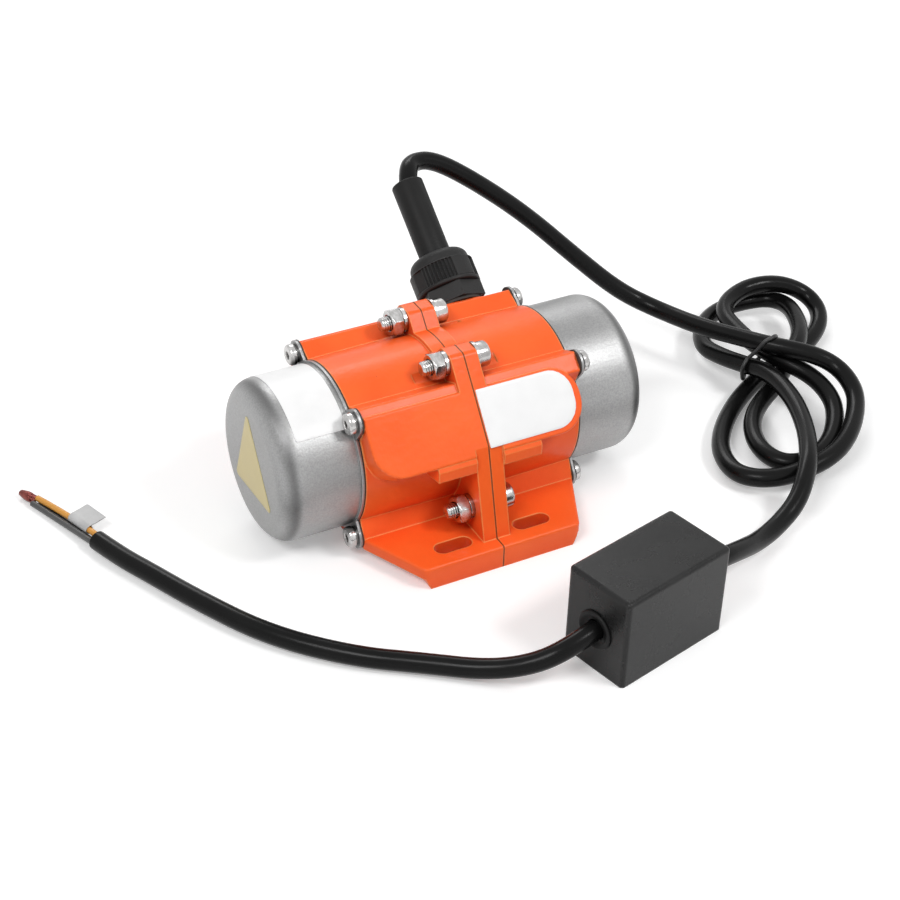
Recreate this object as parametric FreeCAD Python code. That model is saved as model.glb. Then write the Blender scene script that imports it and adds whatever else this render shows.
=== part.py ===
import FreeCAD, Part
import math
import os

# A small twin-shaft vibration motor: a finned aluminium body split across its middle,
# two drawn steel end caps over the eccentric weights, a cable gland, a capacitor box
# in the lead, and a bare-ended supply cord.
# Millimetres. X runs along the shaft, +Y to the gland side, +Z up.
# The origin lies in the feet's underside, below the shaft, in the split plane.

V = FreeCAD.Vector
X_AXIS = V(1, 0, 0)
Y_AXIS = V(0, 1, 0)
Z_AXIS = V(0, 0, 1)

# Overall housing
axis_height = 35.0
half_length = 46.0
barrel_radius = 33.0
barrel_draft = 0.6
bore_wall = 3.6
split_gap = 0.1

# Split flange between the two halves
flange_thickness = 5.7
flange_radius = 35.0
flange_foot_inset = 5.7
lobe_top = 40.1
lobe_half_width = 3.6
lobe_root = 8.8
lobe_root_drop = 0.9
lobe_corner = 2.6
bolt_upper = (17.3, 35.2)
bolt_lower = (40.2, -16.0)
flange_bolt_diameter = 6.0
flange_bolt_length = 23.0
flange_bolt_chamfer = 0.7
bolt_clearance = 0.25
bolt_washer_thickness = 1.2
bolt_washer_radius = 5.6
bolt_head_radius = 5.0
bolt_head_height = 5.0
bolt_head_edge = 1.2
bolt_socket_across = 4.6
bolt_socket_depth = 3.0
bolt_seat_radius = 6.4
bolt_seat_depth = 12.0
nut_across = 10.0
nut_height = 5.0
nut_chamfer = 1.2
nut_spring_thickness = 1.6
nut_spring_radius = 5.0
thread_fit = 0.05

# Slanted nameplate pads, front and back, measured from the shaft axis
pad_angle = 37.4
pad_distance = 41.1
pad_above = 5.6
pad_below = 20.0
pad_end_step = 0.4
plate_pad_end_step = 2.9
pad_depth = 13.0
pad_corner = 12.0
pad_edge = 0.9
flange_pad_below = 16.8
pad_rib_length = 16.3
pad_rib_inset = 0.6
pad_rib_overlap = 3.0
pad_rib_reach = 1.8
pad_rib_drop = 4.4
pad_rib_root = 30.0
pad_rib_slope = 3.0
pad_rib_rise = 4.0

# Ribs that carry the cap screws
rib_top_radius = 40.2
rib_top_width = 7.6
rib_base_width = 13.0
rib_root_radius = 27.0
rib_root_width = 15.5
rib_edge = 0.9

# Feet
foot_half_width = 58.0
foot_half_length = 33.4
foot_thickness = 9.6
foot_corner = 3.0
foot_edge = 1.1
foot_pad_half_length = 31.0
foot_pad_slope = 2.2
wing_lift = 5.0
wing_end_y = 31.0
underside_half_width = 24.0
underside_depth = 1.5
belly_top = (26.4, 16.2)
belly_foot_y = 29.8
slot_spacing_x = 34.0
slot_spacing_y = 97.0
slot_length = 15.5
slot_width = 6.6

# End caps, drawn from sheet
cap_radius = 32.0
cap_sheet = 1.2
cap_end = 78.2
cap_corner_radius = 8.4
cap_rim = 1.0
cap_rim_width = 0.9
cap_ear_radius = 5.2
cap_ear_flare = 1.35
cap_ear_root = 6.0
cap_screw_circle = 36.9
cap_screw_diameter = 4.0
cap_screw_depth = 9.0
cap_screw_fit = 0.05
screw_head_diameter = 8.4
screw_head_height = 2.8
screw_head_edge = 1.0
screw_socket_across = 3.0
screw_socket_depth = 1.8
spring_washer_thickness = 0.8
spring_washer_radius = 3.7
spring_washer_fit = 0.1
spring_washer_cut = 0.8
cap_washer_turn = 40.0
nut_washer_turn = 200.0
gasket_thickness = 0.6
gasket_width = 3.0

# Stator
stator_half_length = 20.0
stator_bore_radius = 15.7
stator_fit = 0.05
slot_count = 12
slot_root_radius = 18.0
slot_tip_radius = 25.5
slot_bar_width = 4.6
end_turn_length = 9.0
end_turn_outer = 26.2
end_turn_inner = 17.2
end_turn_edge = 2.6
cavity_step = 1.8
bearing_wall = 1.5

# Rotor and shaft
air_gap = 0.4
shaft_core_radius = 7.5
shaft_radius = 6.0
shaft_half_length = 73.6
end_ring_length = 4.5
end_ring_wall = 5.0
end_ring_step = 0.4
shaft_chamfer = 0.6

# Ball bearings in the end walls
bearing_outer_radius = 16.0
bearing_width = 10.0
bearing_lip = 1.0
bearing_race = 2.6
ball_count = 7
ball_radius = 2.9
ball_clearance = 0.12
race_shoulder = 0.9
cage_side = 0.9
cage_wall = 1.2
cage_clearance = 0.15

# Eccentric weights
weight_radius = 27.0
weight_thickness = 9.0
weight_hub_radius = 10.5
weight_clamp_width = 9.0
weight_clamp_height = 6.5
weight_slit = 1.6
weight_gap = 0.6
weight_fit = 0.03
spacer_radius = 8.5
spacer_length = 5.4
weight_screw_diameter = 4.0
weight_screw_level = 13.1
weight_screw_length = 11.0
weight_screw_head = 6.8
weight_screw_head_height = 3.4
weight_screw_fit = 0.1
ring_width = 1.2
ring_groove_depth = 0.6
ring_proud = 2.0
ring_opening = 4.4

# Cable gland on the back pad of the right half
gland_x = 27.8
gland_down = 4.8
gland_thread_radius = 10.0
gland_thread_fit = 0.1
gland_thread_end = 31.5
gland_spot_clearance = 0.6
gland_way_depth = 4.8
gland_washer_thickness = 1.2
gland_washer_radius = 11.3
gland_hex_across = 23.2
gland_hex_height = 6.6
gland_neck_radius = 10.4
gland_neck_height = 8.0
gland_nut_radius = 13.4
gland_nut_height = 11.5
gland_nut_clearance = 0.15
gland_nut_lift = 0.2
gland_nut_edge = 1.2
gland_dome_inset = 2.6
gland_dome_height = 2.6
gland_dome_edge = 2.2
gland_rib_count = 24
gland_groove_radius = 0.6
gland_groove_inset = 0.15
gland_groove_margin = 1.0
gland_bore_radius = 6.9
gland_cord_way = 0.6
seal_recess = 1.0
sleeve_radius = 6.6
sleeve_recess = 0.4
sleeve_end = 96.6
sleeve_edge = 0.8
cord_fit = 0.1

# Cords
cord_diameter = 7.7
core_diameter = 2.5
copper_diameter = 3.2
copper_stub_diameter = 1.8

# Capacitor box in the lead
box_centre = (25.7, -116.5)
box_turn = 13.5
box_length = 52.0
box_width = 30.0
box_height = 38.0
box_wall = 2.5
box_edge = 1.6
box_entry_radius = 7.0
box_entry_height = 18.0
potting_recess = 0.4
capacitor_size = (36.0, 15.0, 24.0)

# Routes of the cords, chosen by hand: x, y, z of each turning point
arch_route = [
    (27.8, 85.6, 94.4),
    (33.8, 92.8, 97.0),
    (44.8, 92.6, 94.4),
    (62.0, 85.6, 82.0),
    (82.0, 77.4, 64.6),
    (104.0, 67.8, 44.6),
    (121.0, 58.6, 30.0),
    (133.5, 50.5, 22.5),
]
box_run_route = [
    (134.0, -67.6, 17.2),
    (125.7, -77.4, 15.8),
    (116.5, -85.3, 11.4),
    (105.0, -90.0, 7.4),
    (91.0, -95.8, 7.6),
    (77.0, -102.3, 12.8),
    (63.8, -107.2, 16.8),
]
supply_route = [
    (-11.0, -125.2, 16.2),
    (-23.5, -121.8, 10.4),
    (-37.0, -112.0, 5.2),
    (-54.0, -98.4, 4.2),
    (-75.5, -83.6, 4.2),
    (-96.0, -62.0, 4.2),
    (-114.0, -36.0, 4.2),
    (-127.5, -11.0, 4.2),
    (-134.0, 6.0, 4.2),
    (-134.6, 19.8, 4.2),
]
core_routes = {
    "core_yellow": [(-133.3, 19.8, 4.9), (-138.9, 38.0, 4.7), (-146.2, 56.9, 3.0)],
    "core_grey": [(-136.3, 19.8, 3.6), (-142.6, 40.4, 2.0), (-148.6, 56.2, 1.8)],
}
copper_route = [(-148.3, 58.8, 2.1), (-151.0, 65.0, 1.9)]

# Film tag rolled round the yellow core
tag_place = (-137.07, 31.9, 4.72)
tag_turn = 107.7
tag_length = 11.0
tag_roll_radius = 1.85
tag_flag = 7.5
tag_thickness = 0.3

# Figure-of-eight hank on the floor: its outline and height, and the ridge of upper strands across it
hank_outline = [
    (147.0, 41.0), (158.0, 52.0), (174.0, 58.5), (192.0, 59.0), (212.0, 57.5),
    (221.0, 45.0), (219.0, 30.0), (208.0, 17.0), (194.0, 9.0), (185.0, -2.0),
    (186.5, -18.0), (187.5, -32.0), (181.0, -47.0), (168.0, -60.0), (149.0, -71.0),
    (131.0, -71.8), (117.0, -68.5), (107.0, -59.0), (105.0, -48.0), (110.0, -32.0),
    (121.0, -18.0), (135.0, -6.0), (148.0, 6.0), (144.0, 27.0),
]
hank_height = 18.0
hank_corner = 8.0
ridge_centre = (157.0, 14.5)
ridge_length = 88.0
ridge_width = 24.0
ridge_height = 29.0
ridge_turn = -56.5
ridge_edge = 3.0
tie_thickness = 1.4
tie_width = 2.4
tie_place = 8.0
tie_bend = 3.0

# Values that follow from the sizes above
pad_cos = math.cos(math.radians(pad_angle))
pad_end = half_length - pad_end_step
plate_pad_end = half_length - plate_pad_end_step
pad_sin = math.sin(math.radians(pad_angle))
stator_radius = barrel_radius - bore_wall
cavity_radius = stator_radius - cavity_step
bearing_end = half_length - bearing_lip
bearing_start = bearing_end - bearing_width
seat_face = half_length + gasket_thickness
ear_face = seat_face + cap_rim
spacer_end = bearing_end + spacer_length
cap_inner = cap_end - cap_sheet
cord_radius = cord_diameter / 2.0
rotor_radius = stator_bore_radius - air_gap
pitch_radius = (bearing_outer_radius + shaft_radius) / 2.0
screw_offset = cap_screw_circle / math.sqrt(2.0)
bolt_radius = flange_bolt_diameter / 2.0
bolt_seat = flange_thickness + split_gap / 2.0
inner_weight_start = spacer_end
outer_weight_start = spacer_end + weight_thickness + weight_gap
ring_start = outer_weight_start + weight_thickness + weight_gap
washer_top = pad_distance + gland_washer_thickness
hex_top = washer_top + gland_hex_height
nut_top = hex_top + gland_nut_height
seal_top = hex_top + gland_neck_height
gland_direction = V(0, pad_cos, pad_sin)
near = 0.01


def at(x, y, z):
    """Point given from the shaft axis."""
    return V(x, y, z + axis_height)


def cylinder(radius, x0, x1, y=0.0, z=0.0):
    return Part.makeCylinder(radius, x1 - x0, at(x0, y, z), X_AXIS)


def ring(outer, inner, x0, x1):
    return cylinder(outer, x0, x1).cut(cylinder(inner, x0, x1))


def prism(points, x0, x1):
    """Closed outline in Y and Z from the shaft axis, carried from x0 to x1."""
    corners = [at(x0, y, z) for y, z in points]
    wire = Part.makePolygon(corners + corners[:1])
    return Part.Face(wire).extrude(V(x1 - x0, 0, 0))


def block(x0, x1, y0, y1, z0, z1):
    return Part.makeBox(x1 - x0, y1 - y0, z1 - z0, V(x0, y0, z0))


def join(shapes):
    result = shapes[0]
    for shape in shapes[1:]:
        result = result.fuse(shape)
    return result.removeSplitter()


def mirrored(shape):
    return shape.mirror(V(0, 0, 0), X_AXIS)


def rounded_wire(points, radius):
    """Closed polygon in the plane with an arc of one radius at every corner."""
    count = len(points)
    edges = []
    ends = []
    for i in range(count):
        before = points[i - 1]
        corner = points[i]
        after = points[(i + 1) % count]
        to_before = (before - corner).normalize()
        to_after = (after - corner).normalize()
        half_angle = to_before.getAngle(to_after) / 2.0
        reach = radius / math.tan(half_angle)
        middle = (to_before + to_after).normalize()
        centre = corner + middle * (radius / math.sin(half_angle))
        start = corner + to_before * reach
        end = corner + to_after * reach
        ends.append((start, end))
        edges.append(Part.Arc(start, centre - middle * radius, end).toShape())
    for i in range(count):
        start = ends[i][1]
        end = ends[(i + 1) % count][0]
        if start.distanceToPoint(end) > 1e-6:
            edges.append(Part.LineSegment(start, end).toShape())
    return Part.Wire(Part.__sortEdges__(edges))


def hexagon(across, height, base, axis):
    """Hexagonal prism of a given width across its flats."""
    circle = across / math.sqrt(3.0)
    side = axis.cross(V(0.3, 0.2, 0.9)).normalize()
    other = axis.cross(side).normalize()
    corners = []
    for i in range(6):
        angle = math.radians(60.0 * i)
        corners.append(base + side * (circle * math.cos(angle)) + other * (circle * math.sin(angle)))
    wire = Part.makePolygon(corners + corners[:1])
    return Part.Face(wire).extrude(axis * height)


def soften(shape, radius, chosen):
    """Round the edges that a test picks out."""
    edges = [edge for edge in shape.Edges if chosen(edge)]
    return shape.makeFillet(radius, edges)


def save(name, *shapes):
    solids = [solid for shape in shapes for solid in shape.Solids]
    if len(solids) == 1:
        result = solids[0]
    else:
        result = Part.makeCompound(solids)
    result.exportStep("parts/%s.step" % name)
    print("%-28s solids %2d  volume %.1f  valid %s" % (name, len(solids), result.Volume, result.isValid()))


# Housing halves

def pad_point(side, distance, down):
    """Point of a pad's cross-section: distance out along its normal, and down its slope."""
    return (side * (pad_cos * distance + pad_sin * down), pad_sin * distance - pad_cos * down)


def flange_outline():
    """Edge of the split flange: lobes at the top bolts, pad faces, sides that lean out to the feet."""
    right = [
        (foot_half_width - flange_foot_inset, foot_thickness - axis_height),
        pad_point(1, pad_distance, flange_pad_below),
        pad_point(1, pad_distance, -pad_above),
        (bolt_upper[0] + lobe_half_width, lobe_top),
        (bolt_upper[0] - lobe_half_width, lobe_top),
        (bolt_upper[0] - lobe_root, flange_radius - lobe_root_drop),
    ]
    left = [(-y, z) for y, z in reversed(right)]
    return right + left


def split_flange():
    plate = prism(flange_outline(), 0, flange_thickness)
    plate = plate.fuse(cylinder(flange_radius, 0, flange_thickness)).removeSplitter()

    def at_lobe_corner(edge):
        middle = edge.CenterOfMass
        along = abs(edge.Length - flange_thickness) < near
        return along and abs(middle.z - axis_height - lobe_top) < near
    return soften(plate, lobe_corner, at_lobe_corner)


def screw_rib(side, up):
    """Trapezoid rib along the barrel, under one cap screw."""
    radial = (side / math.sqrt(2.0), up / math.sqrt(2.0))
    across = (-radial[1], radial[0])
    section = [
        (rib_root_radius, rib_root_width / 2.0),
        (barrel_radius, rib_base_width / 2.0),
        (rib_top_radius, rib_top_width / 2.0),
    ]
    corners = section + [(reach, -offset) for reach, offset in reversed(section)]
    points = [(radial[0] * r + across[0] * s, radial[1] * r + across[1] * s) for r, s in corners]
    rib = prism(points, 0, half_length)
    top = at(0, radial[0] * rib_top_radius, radial[1] * rib_top_radius)

    def top_edge(edge):
        middle = edge.CenterOfMass
        flat = V(0, middle.y - top.y, middle.z - top.z).Length
        return abs(edge.Length - half_length) < near and flat < rib_top_width
    return soften(rib, rib_edge, top_edge)


def nameplate_pad(side, end, plated):
    """Slanted seat, round at its lower outer corner and, where it takes a plate, at its upper one too,
    and the short rib under it by the flange."""
    start = flange_thickness
    outer = []
    for x, down in ((start, -pad_above), (end, -pad_above), (end, pad_below), (start, pad_below)):
        y, z = pad_point(side, pad_distance, down)
        outer.append(at(x, y, z))
    inward = V(0, -side * pad_cos, -pad_sin)
    slab = Part.Face(Part.makePolygon(outer + outer[:1])).extrude(inward * pad_depth)

    def outer_corner(edge):
        middle = edge.CenterOfMass
        at_end = abs(edge.Length - pad_depth) < near and abs(middle.x - end) < near
        return at_end and (plated or middle.z < axis_height + pad_sin * pad_distance - pad_depth / 2.0)
    slab = soften(slab, pad_corner, outer_corner)
    face_normal = inward * -1.0
    face_level = outer[0].dot(face_normal)

    def face_edge(edge):
        low = min(vertex.Point.dot(face_normal) for vertex in edge.Vertexes)
        return low > face_level - near and edge.CenterOfMass.x > start + near
    slab = soften(slab, pad_edge, face_edge)
    brow = pad_point(side, pad_distance - pad_rib_inset, pad_below - pad_rib_overlap)
    lip = pad_point(side, pad_distance - pad_rib_inset, pad_below + pad_rib_reach)
    toe = (lip[0], lip[1] - pad_rib_drop)
    root = (side * pad_rib_root, toe[1] - pad_rib_slope)
    shoulder = (side * pad_rib_root, lip[1] + pad_rib_rise)
    rib = prism([brow, lip, toe, root, shoulder], start, start + pad_rib_length)
    return [slab, rib]


def foot_plate():
    """Foot plate with cut-back wings, raised under the wings, with a shallow relief between the feet."""
    outline = [
        V(0, foot_half_width, 0), V(foot_half_length, foot_half_width, 0),
        V(half_length, wing_end_y, 0), V(half_length, -wing_end_y, 0),
        V(foot_half_length, -foot_half_width, 0), V(0, -foot_half_width, 0),
    ]
    plate = Part.Face(Part.makePolygon(outline + outline[:1])).extrude(V(0, 0, foot_thickness))

    def upright(edge):
        middle = edge.CenterOfMass
        return abs(edge.Length - foot_thickness) < near and abs(middle.x - foot_half_length) < near
    plate = soften(plate, foot_corner, upright)

    def top_edge(edge):
        low = min(vertex.Point.z for vertex in edge.Vertexes)
        middle = edge.CenterOfMass
        return low > foot_thickness - near and abs(middle.y) > wing_end_y and middle.x > near
    plate = soften(plate, foot_edge, top_edge)
    wide = half_length + 1.0
    slope_top = foot_pad_half_length + foot_pad_slope
    under = [
        (foot_pad_half_length, -1), (wide, -1), (wide, wing_lift),
        (slope_top, wing_lift), (foot_pad_half_length, 0),
    ]
    reach = foot_half_width + 1 - underside_half_width
    for start in (-foot_half_width - 1, underside_half_width):
        corners = [V(x, start, z) for x, z in under]
        plate = plate.cut(Part.Face(Part.makePolygon(corners + corners[:1])).extrude(V(0, reach, 0)))
    plate = plate.cut(block(-1, wide, -underside_half_width, underside_half_width, -1, underside_depth))
    return plate


def slots(side_x):
    cutters = []
    radius = slot_width / 2.0
    straight = slot_length - slot_width
    for side in (-1, 1):
        centre = V(side_x * slot_spacing_x / 2.0, side * slot_spacing_y / 2.0, -1)
        height = foot_thickness + 2
        body = Part.makeBox(straight, slot_width, height, centre + V(-straight / 2.0, -radius, 0))
        for end in (-1, 1):
            body = body.fuse(Part.makeCylinder(radius, height, centre + V(end * straight / 2.0, 0, 0)))
        cutters.append(body.removeSplitter())
    return cutters


def belly():
    """Fill between the barrel and the feet, with faces that slope out to the foot plate."""
    low = wing_lift - axis_height
    half = [
        (belly_foot_y, low), (belly_foot_y, foot_thickness - axis_height),
        (belly_top[0], belly_top[1] - axis_height),
    ]
    return prism(half + [(-y, z) for y, z in reversed(half)], 0, half_length)


def cap_screw_places():
    return [(y * screw_offset, z * screw_offset) for y in (-1, 1) for z in (-1, 1)]


def flange_bolt_places():
    places = []
    for side in (-1, 1):
        places.append((side * bolt_upper[0], bolt_upper[1]))
        places.append((side * bolt_lower[0], bolt_lower[1]))
    return places


def housing_half(end, plated):
    """Half of the body, from the split plane outwards, with its pads' length and kind."""
    barrel = Part.makeCone(barrel_radius + barrel_draft, barrel_radius, half_length, at(0, 0, 0), X_AXIS)
    solids = [barrel, split_flange(), foot_plate(), belly()]
    for side in (-1, 1):
        solids += nameplate_pad(side, end, plated)
        for up in (-1, 1):
            solids.append(screw_rib(side, up))
    body = join(solids)
    hollow = [
        cylinder(stator_radius, -1, stator_half_length),
        cylinder(cavity_radius, stator_half_length, bearing_start - bearing_wall),
        cylinder(bearing_outer_radius, bearing_start - bearing_wall - 1, bearing_end),
        cylinder(bearing_outer_radius - bearing_race, bearing_end - 1, half_length + 1),
    ]
    for y, z in flange_bolt_places():
        hollow.append(cylinder(bolt_radius + bolt_clearance, -1, flange_thickness + 1, y, z))
        hollow.append(cylinder(bolt_seat_radius, flange_thickness, flange_thickness + bolt_seat_depth, y, z))
    for y, z in cap_screw_places():
        radius = cap_screw_diameter / 2.0 + cap_screw_fit
        hollow.append(cylinder(radius, half_length - cap_screw_depth - 1, half_length + 1, y, z))
    hollow += slots(1)
    for cutter in hollow:
        body = body.cut(cutter)
    return body.removeSplitter()


def gland_axis(distance):
    """Point on the gland's axis, at a distance out along the pad's normal."""
    return at(gland_x, *pad_point(1, distance, gland_down))


def along_gland(radius, start, end):
    return Part.makeCylinder(radius, end - start, gland_axis(start), gland_direction)


# End caps, gaskets and cap screws

def ear_outline(x0, x1, rim):
    """Rim ring with four screw ears, and their holes."""
    plate = cylinder(rim, x0, x1)
    for y, z in cap_screw_places():
        ear = cylinder(cap_ear_radius, x0, x1, y, z)
        unit = V(0, y, z).normalize()
        side = V(0, -unit.z, unit.y) * cap_ear_radius
        inner = unit * (rim - cap_ear_root)
        outer = V(0, y, z)
        corners = [inner + side * cap_ear_flare, outer + side, outer - side, inner - side * cap_ear_flare]
        neck = prism([(corner.y, corner.z) for corner in corners], x0, x1)
        plate = plate.fuse(ear).fuse(neck)
    for y, z in cap_screw_places():
        hole = cylinder(cap_screw_diameter / 2.0 + bolt_clearance, x0 - 1, x1 + 1, y, z)
        plate = plate.cut(hole)
    return plate.removeSplitter()


def end_cap():
    """Drawn steel cup: rim with ears, straight wall, rounded corner, and a closed end with a shallow dish."""
    wall_outer = cap_radius
    wall_inner = cap_radius - cap_sheet
    corner_inner = cap_corner_radius - cap_sheet

    def profile(radius, corner, end, start):
        points = [at(start, 0, 0), at(start, 0, radius), at(end - corner, 0, radius)]
        edges = [Part.LineSegment(points[0], points[1]).toShape(),
                 Part.LineSegment(points[1], points[2]).toShape()]
        bend = corner * math.sqrt(0.5)
        middle = at(end - corner + bend, 0, radius - corner + bend)
        tip = at(end, 0, radius - corner)
        edges.append(Part.Arc(points[2], middle, tip).toShape())
        edges.append(Part.LineSegment(tip, at(end, 0, 0)).toShape())
        edges.append(Part.LineSegment(at(end, 0, 0), points[0]).toShape())
        return Part.Face(Part.Wire(edges)).revolve(at(0, 0, 0), X_AXIS, 360)
    outer = profile(wall_outer, cap_corner_radius, cap_end, seat_face)
    inner = profile(wall_inner, corner_inner, cap_inner, seat_face - 1)
    rim = ear_outline(seat_face, ear_face, cap_radius + cap_rim_width)
    return rim.fuse(outer).cut(inner).removeSplitter()


def cap_gasket():
    plate = ear_outline(half_length, seat_face, cap_radius + cap_rim_width)
    hole = cylinder(cap_radius - gasket_width, half_length - 1, seat_face + 1)
    return plate.cut(hole).removeSplitter()


def spring_washer(x0, thickness, outer, inner, y, z, turn):
    """Split washer: a flat ring with a slanting cut."""
    washer = cylinder(outer, x0, x0 + thickness, y, z).cut(cylinder(inner, x0 - 1, x0 + thickness + 1, y, z))
    cut = Part.makeBox(thickness * 3, outer + 1, spring_washer_cut, at(x0 - thickness, y, z))
    cut.rotate(at(x0, y, z), X_AXIS, turn)
    return washer.cut(cut)


def cap_screws():
    """Pan-head screws with a hexagon socket, one per ear."""
    seat = ear_face + spring_washer_thickness
    screws = []
    for y, z in cap_screw_places():
        head = cylinder(screw_head_diameter / 2.0, seat, seat + screw_head_height, y, z)
        top = seat + screw_head_height
        head = soften(head, screw_head_edge, lambda edge: abs(edge.CenterOfMass.x - top) < near)
        bottom = top - screw_socket_depth
        shank = cylinder(cap_screw_diameter / 2.0, half_length - cap_screw_depth, bottom, y, z)
        socket = hexagon(screw_socket_across, screw_head_height, at(bottom, y, z), X_AXIS)
        screws.append(head.fuse(shank).cut(socket).removeSplitter())
    return Part.makeCompound(screws)


def cap_screw_washers():
    washers = []
    inner = cap_screw_diameter / 2.0 + spring_washer_fit
    thickness = spring_washer_thickness
    for y, z in cap_screw_places():
        washers.append(spring_washer(ear_face, thickness, spring_washer_radius, inner, y, z, cap_washer_turn))
    return Part.makeCompound(washers)


# Flange bolts: heads on the right, nuts and spring washers on the left

def flange_bolts():
    bolts = []
    start = bolt_seat + bolt_washer_thickness
    for y, z in flange_bolt_places():
        top = start + bolt_head_height
        tip = start - flange_bolt_length
        head = cylinder(bolt_head_radius, start, top, y, z)
        head = soften(head, bolt_head_edge, lambda edge: abs(edge.CenterOfMass.x - top) < near)
        socket = hexagon(bolt_socket_across, bolt_head_height, at(top - bolt_socket_depth, y, z), X_AXIS)
        shank = cylinder(bolt_radius, tip, top - bolt_socket_depth, y, z)
        end = [edge for edge in shank.Edges if abs(edge.CenterOfMass.x - tip) < near]
        shank = shank.makeChamfer(flange_bolt_chamfer, end)
        bolts.append(head.cut(socket).fuse(shank).removeSplitter())
    return Part.makeCompound(bolts)


def flange_washers():
    start = bolt_seat
    hole = bolt_radius + spring_washer_fit
    washers = []
    for y, z in flange_bolt_places():
        outer = cylinder(bolt_washer_radius, start, start + bolt_washer_thickness, y, z)
        washers.append(outer.cut(cylinder(hole, 0, start + bolt_head_height, y, z)))
    return Part.makeCompound(washers)


def nut_spring_washers():
    start = -bolt_seat - nut_spring_thickness
    inner = bolt_radius + spring_washer_fit
    thickness = nut_spring_thickness
    washers = []
    for y, z in flange_bolt_places():
        washers.append(spring_washer(start, thickness, nut_spring_radius, inner, y, z, nut_washer_turn))
    return Part.makeCompound(washers)


def flange_nuts():
    end = -bolt_seat - nut_spring_thickness
    nuts = []
    for y, z in flange_bolt_places():
        nut = hexagon(nut_across, nut_height, at(end - nut_height, y, z), X_AXIS)
        corner = nut_across / math.sqrt(3.0)
        start = end - nut_height
        cone = Part.makeCone(corner - nut_chamfer, corner + nut_chamfer, nut_chamfer, at(start, y, z), X_AXIS)
        rest = cylinder(corner + nut_chamfer, start + nut_chamfer, end, y, z)
        nut = nut.common(cone.fuse(rest))
        nuts.append(nut.cut(cylinder(bolt_radius + thread_fit, start - 1, end + 1, y, z)))
    return Part.makeCompound(nuts)


# Stator and rotor

def slot_bars(length, tip):
    """Straight winding bars in the stator's slots, in one ring."""
    bars = []
    for i in range(slot_count):
        bar = Part.makeBox(2 * length, slot_bar_width, tip - slot_root_radius,
                           at(-length, -slot_bar_width / 2.0, slot_root_radius))
        bar.rotate(at(0, 0, 0), X_AXIS, 360.0 * i / slot_count)
        bars.append(bar)
    return bars


def stator_core():
    core = ring(stator_radius - stator_fit, stator_bore_radius, -stator_half_length, stator_half_length)
    for bar in slot_bars(stator_half_length + 1, slot_tip_radius):
        core = core.cut(bar)
    return core


def stator_windings():
    """Two end turns with rounded shoulders, joined by the bars through the slots."""
    solids = []
    for side in (-1, 1):
        start = stator_half_length if side > 0 else -stator_half_length - end_turn_length
        turn = ring(end_turn_outer, end_turn_inner, start, start + end_turn_length)
        far = side * (stator_half_length + end_turn_length)
        turn = soften(turn, end_turn_edge, lambda edge: abs(edge.CenterOfMass.x - far) < near)
        solids.append(turn)
    return join(solids + slot_bars(stator_half_length, slot_tip_radius))


def rotor_core():
    return ring(rotor_radius, shaft_core_radius, -stator_half_length, stator_half_length)


def rotor_end_rings():
    rings = []
    outer = rotor_radius - end_ring_step
    for side in (-1, 1):
        start = stator_half_length if side > 0 else -stator_half_length - end_ring_length
        rings.append(ring(outer, outer - end_ring_wall, start, start + end_ring_length))
    return Part.makeCompound(rings)


def shaft():
    """Stepped shaft: thick through the rotor, thinner through bearings and weights, with ring grooves."""
    body = cylinder(shaft_radius, -shaft_half_length, shaft_half_length)
    ends = [edge for edge in body.Edges if abs(edge.CenterOfMass.x) > shaft_half_length - near]
    body = body.makeChamfer(shaft_chamfer, ends)
    body = body.fuse(cylinder(shaft_core_radius, -bearing_start, bearing_start))
    groove = ring(shaft_radius + 1, shaft_radius - ring_groove_depth, ring_start, ring_start + ring_width)
    return body.cut(groove).cut(mirrored(groove)).removeSplitter()


# Bearings

def bearing_outer_ring():
    inner = pitch_radius + ball_radius - race_shoulder
    body = ring(bearing_outer_radius, inner, bearing_start, bearing_end)
    groove = Part.makeTorus(pitch_radius, ball_radius + ball_clearance, bearing_middle(), X_AXIS)
    return body.cut(groove)


def bearing_inner_ring():
    outer = pitch_radius - ball_radius + race_shoulder
    body = ring(outer, shaft_radius, bearing_start, bearing_end)
    groove = Part.makeTorus(pitch_radius, ball_radius + ball_clearance, bearing_middle(), X_AXIS)
    return body.cut(groove)


def bearing_middle():
    return at((bearing_start + bearing_end) / 2.0, 0, 0)


def bearing_balls():
    """Balls with a cage ring that has a pocket for each ball."""
    middle = bearing_middle()
    balls = []
    half = ball_radius + cage_side
    half_wall = cage_wall / 2.0
    cage = ring(pitch_radius + half_wall, pitch_radius - half_wall, middle.x - half, middle.x + half)
    for i in range(ball_count):
        angle = math.radians(360.0 * i / ball_count)
        centre = middle + V(0, math.sin(angle), math.cos(angle)) * pitch_radius
        balls.append(Part.makeSphere(ball_radius, centre))
        cage = cage.cut(Part.makeSphere(ball_radius + cage_clearance, centre))
    return balls + [cage]


# Eccentric weights

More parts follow.
